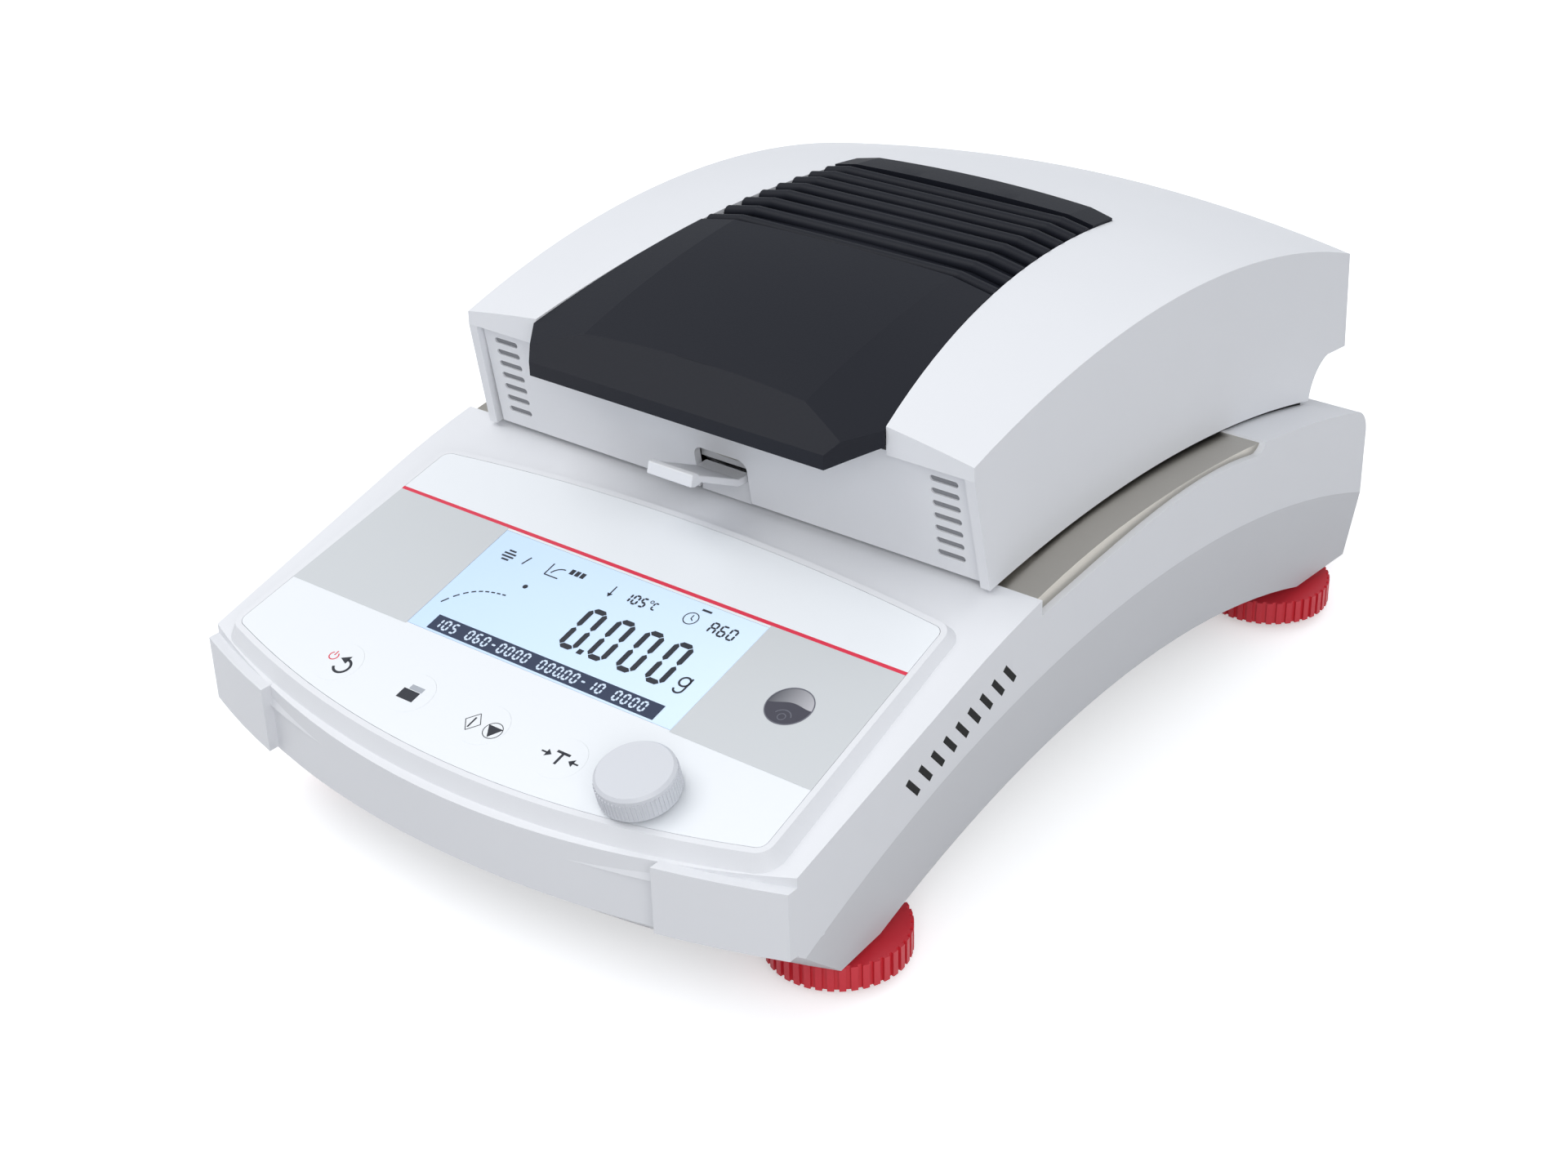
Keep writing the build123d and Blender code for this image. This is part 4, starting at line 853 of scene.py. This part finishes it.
class ANALYZER_OT_level(bpy.types.Operator):
    """Fills the round level: a ground that pales to the right in a painted reflection, a dark crescent
    of painted shade and its rings
    """

    bl_idname = "analyzer.level"
    bl_label = "Level"

    def execute(self, context):
        lift = PRINT_LIFT + PRINT_THICK
        x, y = LEVEL_PLACE
        # Painted reflection: the level's ground pales from dark grey at the left to light grey at the
        # right
        ground = bmesh.new()
        add_disc(ground, LEVEL_PLACE, LEVEL_RADIUS, lift, PRINT_THICK)
        place_on_panel(ground)
        add_piece("level_painted_reflection_disc", ground, materials["level_painted_reflection_disc"], "base")

        lift += 1.2 * PRINT_THICK
        # Painted shade: a dark crescent with a wavy top edge over the lower half of the level
        shade_crescent = bmesh.new()
        turns = [math.radians(188 + 180 * i / 32) for i in range(33)]
        rim = [
            (x + 0.97 * LEVEL_RADIUS * math.cos(t), y + 0.97 * LEVEL_RADIUS * math.sin(t)) for t in turns
        ]
        waves = []
        for i in range(1, 20):
            part = i / 20
            rise = 0.9 - 1.8 * part + 1.3 * math.sin(math.pi * part) ** 2
            waves.append((x + LEVEL_RADIUS * (0.96 - 1.92 * part), y + rise))
        add_polygon(shade_crescent, rim + waves, lift)
        place_on_panel(shade_crescent)
        add_piece("level_painted_shade", shade_crescent, materials["level_painted_shade"], "base")

        lift += 1.2 * PRINT_THICK
        ring = bmesh.new()
        add_arc(ring, (x + 0.4, y - 4.2), 2.6, 20, 160, 0.3, lift)
        add_arc(ring, (x + 0.4, y - 4.0), 1.1, 0, 360, 0.25, lift)
        add_arc(ring, LEVEL_PLACE, LEVEL_RADIUS - 0.15, 0, 360, 0.3, lift, 48)
        place_on_panel(ring)
        add_piece("level_ring", ring, materials["level_ring"], "base")
        return {"FINISHED"}


class ANALYZER_OT_key_symbols(bpy.types.Operator):
    """Lays the film over each key and prints a plain symbol on it"""

    bl_idname = "analyzer.key_symbols"
    bl_label = "Key symbols"

    def execute(self, context):
        for key, place in KEY_PLACES.items():
            film = bmesh.new()
            add_disc(film, (place, KEY_ROW), KEY_FILM_RADIUS, 0, KEY_FILM_THICK)
            place_on_panel(film)
            add_piece(f"film_{key}", film, materials["film_white"], f"key_{key}")

        # Power: a small broken ring with a bar, and a turning arrow beside it
        x, y = KEY_PLACES["power"], KEY_ROW
        power = bmesh.new()
        spot = (x - 3.2, y + 1.2)
        add_arc(power, spot, 1.4, 125, 415, 0.35)
        add_stroke(power, (spot[0], spot[1] + 0.2), (spot[0], spot[1] + 1.9), 0.35)
        place_on_panel(power)
        add_piece("symbol_power", power, materials["film_red"], "key_power")
        turn = bmesh.new()
        spot = (x + 2.0, y - 0.8)
        add_arc(turn, spot, 2.5, -155, 95, 0.8)
        add_polygon(
            turn,
            [
                (spot[0] - 2.6, spot[1] + 2.2),
                (spot[0] + 0.2, spot[1] + 1.0),
                (spot[0] + 0.2, spot[1] + 4.0),
            ],
        )
        place_on_panel(turn)
        add_piece("symbol_return", turn, materials["ink"], "key_power")

        # Print: a dark tray with a grey sheet behind it
        x = KEY_PLACES["print"]
        tray = bmesh.new()
        add_rectangle(tray, x - 3.0, y - 2.7, x + 2.8, y + 0.9)
        place_on_panel(tray)
        add_piece("symbol_tray", tray, materials["ink"], "key_print")
        sheet = bmesh.new()
        add_rectangle(sheet, x - 1.6, y + 1.1, x + 3.0, y + 2.8)
        place_on_panel(sheet)
        add_piece("symbol_sheet", sheet, materials["ink_grey"], "key_print")

        # Start and stop: an upright stroke in a diamond, a triangle in a ring
        x = KEY_PLACES["start"]
        start = bmesh.new()
        tips = [(x - 6.3, y - 0.5), (x - 3.7, y + 2.8), (x - 1.1, y - 0.4), (x - 3.7, y - 3.7)]
        for i, tip in enumerate(tips):
            add_stroke(start, tip, tips[(i + 1) % len(tips)], 0.22)
        add_stroke(start, (x - 3.9, y - 2.6), (x - 3.9, y + 1.2), 0.5)
        add_arc(start, (x + 3.5, y - 0.6), 2.8, 0, 360, 0.22)
        add_polygon(start, [(x + 1.0, y + 0.8), (x + 3.5, y - 3.1), (x + 6.0, y + 0.8)][::-1])
        place_on_panel(start)
        add_piece("symbol_start", start, materials["ink"], "key_start")

        # Tare: a T between two arrows
        x = KEY_PLACES["tare"] - 0.5
        tare = bmesh.new()
        add_stroke(tare, (x - 2.2, y + 1.7), (x + 2.2, y + 1.7), 0.8)
        add_stroke(tare, (x, y + 1.7), (x, y - 2.4), 0.8)
        for side in (-1, 1):
            add_stroke(tare, (x + side * 6.2, y), (x + side * 4.0, y), 0.5)
            tip = [
                (x + side * 2.9, y),
                (x + side * 4.6, y - 1.3),
                (x + side * 4.6, y + 1.3),
            ]
            add_polygon(tare, tip if side > 0 else tip[::-1])
        place_on_panel(tare)
        add_piece("symbol_tare", tare, materials["ink"], "key_tare")
        return {"FINISHED"}


class ANALYZER_OT_display_image(bpy.types.Operator):
    """Draws the display's digits, small signs, heating curve and dark line of figures"""

    bl_idname = "analyzer.display_image"
    bl_label = "Display image"

    def execute(self, context):
        height = sizes().digit_height / MM
        digits = bmesh.new()
        add_digits(digits, "0.000", -2.3, -8.8, 6.6, height, 10.1, 1.75)
        add_digits(digits, "105", 3.0, 13.1, 2.2, 3.8, 2.7, 0.62)
        add_arc(digits, (11.7, 16.3), 0.5, 0, 360, 0.25, steps=12)
        add_digits(digits, "C", 12.6, 13.6, 1.8, 3.0, 2.0, 0.5)
        add_digits(digits, "A60", 32.4, 13.2, 2.5, 4.4, 3.2, 0.6)
        # Unit of mass beside the digits
        add_arc(digits, (39.7, -4.4), 1.6, 0, 360, 0.6)
        add_stroke(digits, (41.2, -2.6), (41.2, -7.2), 0.6)
        add_arc(digits, (39.7, -7.1), 1.5, 190, 360, 0.6, steps=10)
        # Clock and falling arrow
        add_arc(digits, (25.6, 15.8), 2.2, 0, 360, 0.3)
        add_stroke(digits, (25.6, 15.8), (25.6, 17.2), 0.3)
        add_stroke(digits, (25.6, 15.8), (26.5, 15.2), 0.3)
        add_rectangle(digits, 26.4, 19.6, 29.6, 20.3)
        add_stroke(digits, (-1.6, 17.0), (-1.6, 13.4), 0.4)
        add_polygon(digits, [(-1.6, 12.6), (-0.7, 14.0), (-2.5, 14.0)])
        # Hatched disc with a stroke, small graph and three blocks
        for row in range(4):
            half = (2.2**2 - (1.2 * row - 1.8) ** 2) ** 0.5
            add_rectangle(
                digits, -39.4 - half, 12.1 + 1.2 * row - 0.3, -39.4 + half, 12.1 + 1.2 * row + 0.3
            )
        add_stroke(digits, (-33.4, 12.6), (-32.4, 15.9), 0.45)
        add_stroke(digits, (-24.5, 12.2), (-24.5, 16.8), 0.4)
        add_stroke(digits, (-24.5, 12.2), (-19.6, 12.2), 0.4)
        add_arc(digits, (-19.6, 12.4), 3.6, 90, 165, 0.4, steps=8)
        for block in range(3):
            add_rectangle(digits, -18.0 + 1.9 * block, 15.2, -16.6 + 1.9 * block, 17.2)
        # Heating curve: dashes that rise and level out, and the place reached
        for dash in range(9):
            start = dash / 9
            end = start + 0.07
            ends = [
                (-44.2 + 16.3 * t, -9.7 + 10.6 * (1 - math.exp(-3.2 * t))) for t in (start, end)
            ]
            add_stroke(digits, *ends, 0.45)
        add_disc(digits, (-25.9, 5.7), 0.8, PRINT_LIFT, PRINT_THICK, 16)
        place_on_panel(digits)
        add_piece("display_digits", digits, materials["ink"], "base")

        bar = bmesh.new()
        add_rectangle(bar, -40.7, -19.4, 40.7, -13.8)
        place_on_panel(bar)
        add_piece("display_bar", bar, materials["display_bar"], "base")
        figures = bmesh.new()
        above = PRINT_LIFT + PRINT_THICK
        plain = "105 060-0000 000.00-10 0000"
        add_digits(figures, plain, -39.6, -18.5, 2.2, 3.9, 2.95, 0.62, above)
        place_on_panel(figures)
        add_piece("display_figures", figures, materials["display_light"], "base")
        return {"FINISHED"}


class ANALYZER_OT_knob_flutes(bpy.types.Operator):
    """Sets fine flutes round the knob's skirt"""

    bl_idname = "analyzer.knob_flutes"
    bl_label = "Knob flutes"

    def execute(self, context):
        flutes = bmesh.new()
        step = 2 * math.pi / KNOB_FLUTES
        for flute in range(KNOB_FLUTES):
            middle = flute * step
            corners = (
                (KNOB_RADIUS - 0.3, middle - 0.3 * step),
                (KNOB_RADIUS - 0.3, middle + 0.3 * step),
                (KNOB_RADIUS + KNOB_FLUTE_PROUD, middle + 0.16 * step),
                (KNOB_RADIUS + KNOB_FLUTE_PROUD, middle - 0.16 * step),
            )
            outline = [
                (KNOB_PLACE[0] + radius * math.cos(turn), KNOB_PLACE[1] + radius * math.sin(turn))
                for radius, turn in corners
            ]
            add_polygon(flutes, outline, KNOB_FLUTE_FOOT, KNOB_FLUTE_TOP - KNOB_FLUTE_FOOT)
        place_on_panel(flutes)
        add_piece("knob_flutes", flutes, materials["knob"], "knob")
        return {"FINISHED"}


def add_plate(mesh_data, centre, size, tilt=0.0):
    """A thin plate: centre and size in metres, tilted about X."""
    place = Matrix.Translation(centre) @ Matrix.Rotation(tilt, 4, "X") @ Matrix.Diagonal((*size, 1))
    bmesh.ops.create_cube(mesh_data, size=1, matrix=place)


class ANALYZER_OT_slots(bpy.types.Operator):
    """Sets an insert flush in each side with leaning slots of painted shade on it, and a dull grey sheet
    in the hood's vents
    """

    bl_idname = "analyzer.slots"
    bl_label = "Slots and vent fills"

    def execute(self, context):
        low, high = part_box("base_upper_housing")
        slope = math.atan(SLOT_ROW_SLOPE)
        first = Vector((0, low.y + SLOT_FIRST[0] * MM, low.z + SLOT_FIRST[1] * MM))
        step = Vector((0, math.cos(slope), math.sin(slope))) * SLOT_PITCH * MM
        middle = first + step * (SLOT_COUNT - 1) / 2
        inserts = bmesh.new()
        slots = bmesh.new()
        for x, outward in ((low.x, -1), (high.x, 1)):
            face = Vector((x - outward * INSERT_DEPTH * MM, 0, 0))
            add_plate(inserts, middle + face, [side * MM for side in INSERT_SIZE], slope)
            # Each slot is a thin black plate of painted shade set into the insert's face
            for slot in range(SLOT_COUNT):
                place = first + step * slot + Vector((x - outward * SLOT_DEPTH * MM, 0, 0))
                size = (SLOT_THICK * MM, SLOT_WIDTH * MM, SLOT_LENGTH * MM)
                add_plate(slots, place, size, SLOT_LEAN)
        add_piece("case_slot_inserts", inserts, materials["case_white"], "base")
        add_piece("case_slot_painted_shade", slots, materials["dark"], "base")

        low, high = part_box("hood_front_panel")
        lean = math.atan2(high.y - low.y - HOOD_PANEL_THICK * MM, high.z - low.z)
        depth = (low.y + high.y) / 2 - VENT_FILL_DEPTH * MM
        # A dull grey sheet fills each of the hood's vents and makes them darker
        vent_fills = bmesh.new()
        for side in (-1, 1):
            centre = Vector((side * (high.x - VENT_FILL_INSET * MM), depth, (low.z + high.z) / 2))
            add_plate(vent_fills, centre, [length * MM for length in VENT_FILL_SIZE], lean)
        add_piece("hood_vent_fills", vent_fills, materials["gauze_grey"], "hood")
        return {"FINISHED"}


def extrude_profile(mesh_data, profile, half_width):
    """A solid from a side profile of (along, height) points, in metres, as wide as given."""
    sides = [
        [mesh_data.verts.new((x, y, z)) for y, z in profile] for x in (-half_width, half_width)
    ]
    mesh_data.faces.new(sides[0])
    mesh_data.faces.new(sides[1][::-1])
    for i in range(len(profile)):
        j = (i + 1) % len(profile)
        mesh_data.faces.new((sides[0][j], sides[0][i], sides[1][i], sides[1][j]))
    bmesh.ops.recalc_face_normals(mesh_data, faces=mesh_data.faces)


class ANALYZER_OT_pan_handler(bpy.types.Operator):
    """Makes the pan handler with its guard, and lines the hood's notch that it passes through"""

    bl_idname = "analyzer.pan_handler"
    bl_label = "Pan handler"

    def execute(self, context):
        low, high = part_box("sample_pan")
        centre_y = (low.y + high.y) / 2
        ring_top = high.z - 0.6 * MM
        ring_foot = ring_top - HANDLER_SHEET * MM
        ring = bmesh.new()
        inner, outer = high.x - 1.0 * MM, HANDLER_RING * MM
        turns = [2 * math.pi * i / HANDLER_STEPS for i in range(HANDLER_STEPS)]
        loops = [
            [
                ring.verts.new((radius * math.cos(t), centre_y + radius * math.sin(t), z))
                for t in turns
            ]
            for radius, z in (
                (inner, ring_foot),
                (inner, ring_top),
                (outer, ring_top),
                (outer, ring_foot),
            )
        ]
        for a, b in zip(loops, loops[1:] + loops[:1]):
            for i in range(len(turns)):
                j = (i + 1) % len(turns)
                ring.faces.new((a[i], a[j], b[j], b[i]))
        bmesh.ops.recalc_face_normals(ring, faces=ring.faces)
        # The arm's side profile: along its top, round the lip, and back underneath
        front_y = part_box("base_upper_housing")[0].y
        root = ((HANDLER_ROOT, ring_foot / MM + 0.2), (HANDLER_ROOT, ring_top / MM - 0.2))
        outline = (root[1], *HANDLER_TOP, *HANDLER_LIP, *HANDLER_UNDER, root[0])
        profile = [(front_y + d * MM, z * MM) for d, z in outline]
        extrude_profile(ring, profile, HANDLER_WIDTH / 2 * MM)
        piece = add_piece("pan_handler_frame", ring, materials["case_white"], "pan_set")
        round_edges(piece, 0.4 * MM)
        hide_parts("pan_handler")

        for name, profile, half_width, body in (
            ("pan_handler_guard", HANDLER_GUARD, HANDLER_WIDTH / 2 + 0.9, "pan_set"),
            ("hood_notch_lining", NOTCH_LINING, NOTCH_HALF, "hood"),
        ):
            sheet = bmesh.new()
            extrude_profile(
                sheet, [(front_y + d * MM, z * MM) for d, z in profile], half_width * MM
            )
            add_piece(name, sheet, materials["case_grey"], body)
        return {"FINISHED"}


class ANALYZER_OT_hood_shade_strip(bpy.types.Operator):
    """Hangs a black strip of painted shade that shows as a dark line under the hood's sides"""

    bl_idname = "analyzer.hood_seal"
    bl_label = "Hood shade strip"

    def execute(self, context):
        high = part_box("hood_shell")[1]
        front_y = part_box("base_upper_housing")[0].y
        foot = [(front_y + d * MM, z * MM) for d, z in HOOD_FOOT]
        edge = []
        for i in range(SHADE_STRIP_STEPS + 1):
            t = SHADE_STRIP_START + SHADE_STRIP_SPAN * i / SHADE_STRIP_STEPS
            weights = (2 * (t - 0.5) * (t - 1), 4 * t * (1 - t), 2 * t * (t - 0.5))
            edge.append(
                (
                    sum(w * y for w, (y, z) in zip(weights, foot)),
                    sum(w * z for w, (y, z) in zip(weights, foot)),
                    SHADE_STRIP_DROP * MM * math.sin(math.pi * min(1.0, SHADE_STRIP_TAPER * i / SHADE_STRIP_STEPS) / 2),
                )
            )
        # Painted shade: a black strip along the hood's foot stands for the shade in the gap under the
        # hood
        shade_strip = bmesh.new()
        for side in (-1, 1):
            outer = side * (high.x - SHADE_STRIP_INSET * MM)
            inner = outer - side * SHADE_STRIP_THICK * MM
            root = SHADE_STRIP_ROOT * MM
            rows = [[shade_strip.verts.new((x, y, z + root)) for y, z, drop in edge] for x in (outer, inner)]
            rows += [[shade_strip.verts.new((x, y, z - drop)) for y, z, drop in edge] for x in (inner, outer)]
            for a, b in zip(rows, rows[1:] + rows[:1]):
                for i in range(SHADE_STRIP_STEPS):
                    shade_strip.faces.new((a[i], a[i + 1], b[i + 1], b[i]))
            shade_strip.faces.new([row[0] for row in rows])
            shade_strip.faces.new([row[-1] for row in rows])
        bmesh.ops.recalc_face_normals(shade_strip, faces=shade_strip.faces)
        add_piece("hood_seal", shade_strip, materials["dark"], "hood")
        return {"FINISHED"}


class ANALYZER_OT_stage(bpy.types.Operator):
    """Lays the floor and sets the lamps, the world and the camera"""

    bl_idname = "analyzer.stage"
    bl_label = "Stage"

    def execute(self, context):
        scene = context.scene
        scene.view_settings.view_transform = "Standard"
        ground = bmesh.new()
        reach = FLOOR_REACH
        corners = [(-reach, -reach), (reach, -reach), (reach, reach), (-reach, reach)]
        ground.faces.new([ground.verts.new((x, y, 0)) for x, y in corners])
        mesh = bpy.data.meshes.new("floor")
        ground.to_mesh(mesh)
        ground.free()
        floor = bpy.data.objects.new("floor", mesh)
        mesh.materials.append(materials["floor"])
        scene.collection.objects.link(floor)

        world = bpy.data.worlds.new("studio")
        scene.world = world
        world.use_nodes = True
        tree = world.node_tree
        tree.nodes.clear()
        rays = add_node(tree, "ShaderNodeLightPath")
        white = {"Color": linear_colour("#FFFFFF"), "Strength": 1.0}
        cool = {"Color": linear_colour("#EEF2F8"), "Strength": WORLD_FILL}
        seen = add_node(tree, "ShaderNodeBackground", white)
        fill = add_node(tree, "ShaderNodeBackground", cool)
        pick = add_node(tree, "ShaderNodeMixShader")
        tree.links.new(rays.outputs["Is Camera Ray"], pick.inputs[0])
        tree.links.new(fill.outputs[0], pick.inputs[1])
        tree.links.new(seen.outputs[0], pick.inputs[2])
        output = add_node(tree, "ShaderNodeOutputWorld")
        tree.links.new(pick.outputs[0], output.inputs["Surface"])

        target = (CAD_BOX[0] + CAD_BOX[1]) / 2
        for name, place, width, power in LAMPS:
            data = bpy.data.lights.new(name, "AREA")
            data.size = width
            data.energy = power
            lamp = bpy.data.objects.new(name, data)
            lamp.location = target + Vector(place)
            lamp.rotation_euler = (target - lamp.location).to_track_quat("-Z", "Y").to_euler()
            scene.collection.objects.link(lamp)

        right = Vector(CAMERA_RIGHT)
        back = Vector(CAMERA_BACK)
        back = (back - back.dot(right) * right).normalized()
        up = back.cross(right)
        view = Matrix((right, up, back)).transposed().to_4x4()
        view.translation = Vector(CAMERA_PLACE) * MM
        lens = bpy.data.cameras.new("photo_camera")
        lens.lens = CAMERA_LENS
        lens.sensor_width = CAMERA_SENSOR
        lens.clip_start = 0.01
        camera = bpy.data.objects.new("photo_camera", lens)
        camera.matrix_world = view
        scene.collection.objects.link(camera)
        scene.camera = camera
        return {"FINISHED"}


class ANALYZER_PT_panel(bpy.types.Panel):
    """Lists the steps that dress the analyzer"""

    bl_idname = "ANALYZER_PT_panel"
    bl_label = "Moisture analyzer"
    bl_space_type = "VIEW_3D"
    bl_region_type = "UI"
    bl_category = "Analyzer"

    def draw(self, context):
        layout = self.layout
        for step in STEPS:
            layout.operator(step.bl_idname)
        for group in (context.scene.analyzer_colours, context.scene.analyzer_sizes):
            for name in group.__annotations__:
                layout.prop(group, name)


STEPS = (
    ANALYZER_OT_finishes,
    ANALYZER_OT_panel_print,
    ANALYZER_OT_level,
    ANALYZER_OT_key_symbols,
    ANALYZER_OT_display_image,
    ANALYZER_OT_knob_flutes,
    ANALYZER_OT_slots,
    ANALYZER_OT_pan_handler,
    ANALYZER_OT_hood_shade_strip,
    ANALYZER_OT_stage,
)
CLASSES = (ANALYZER_PG_colours, ANALYZER_PG_sizes, *STEPS, ANALYZER_PT_panel)


def register():
    """Registers the classes and their settings on the scene."""
    for cls in CLASSES:
        bpy.utils.register_class(cls)
    bpy.types.Scene.analyzer_colours = bpy.props.PointerProperty(type=ANALYZER_PG_colours)
    bpy.types.Scene.analyzer_sizes = bpy.props.PointerProperty(type=ANALYZER_PG_sizes)


def unregister():
    """Takes the settings and the classes away again."""
    del bpy.types.Scene.analyzer_sizes
    del bpy.types.Scene.analyzer_colours
    for cls in reversed(CLASSES):
        bpy.utils.unregister_class(cls)


def main():
    """Dresses the analyzer step by step."""
    register()
    bpy.ops.analyzer.finishes()
    bpy.ops.analyzer.panel_print()
    bpy.ops.analyzer.level()
    bpy.ops.analyzer.key_symbols()
    bpy.ops.analyzer.display_image()
    bpy.ops.analyzer.knob_flutes()
    bpy.ops.analyzer.slots()
    bpy.ops.analyzer.pan_handler()
    bpy.ops.analyzer.hood_seal()
    bpy.ops.analyzer.stage()


if __name__ == "__main__":
    main()
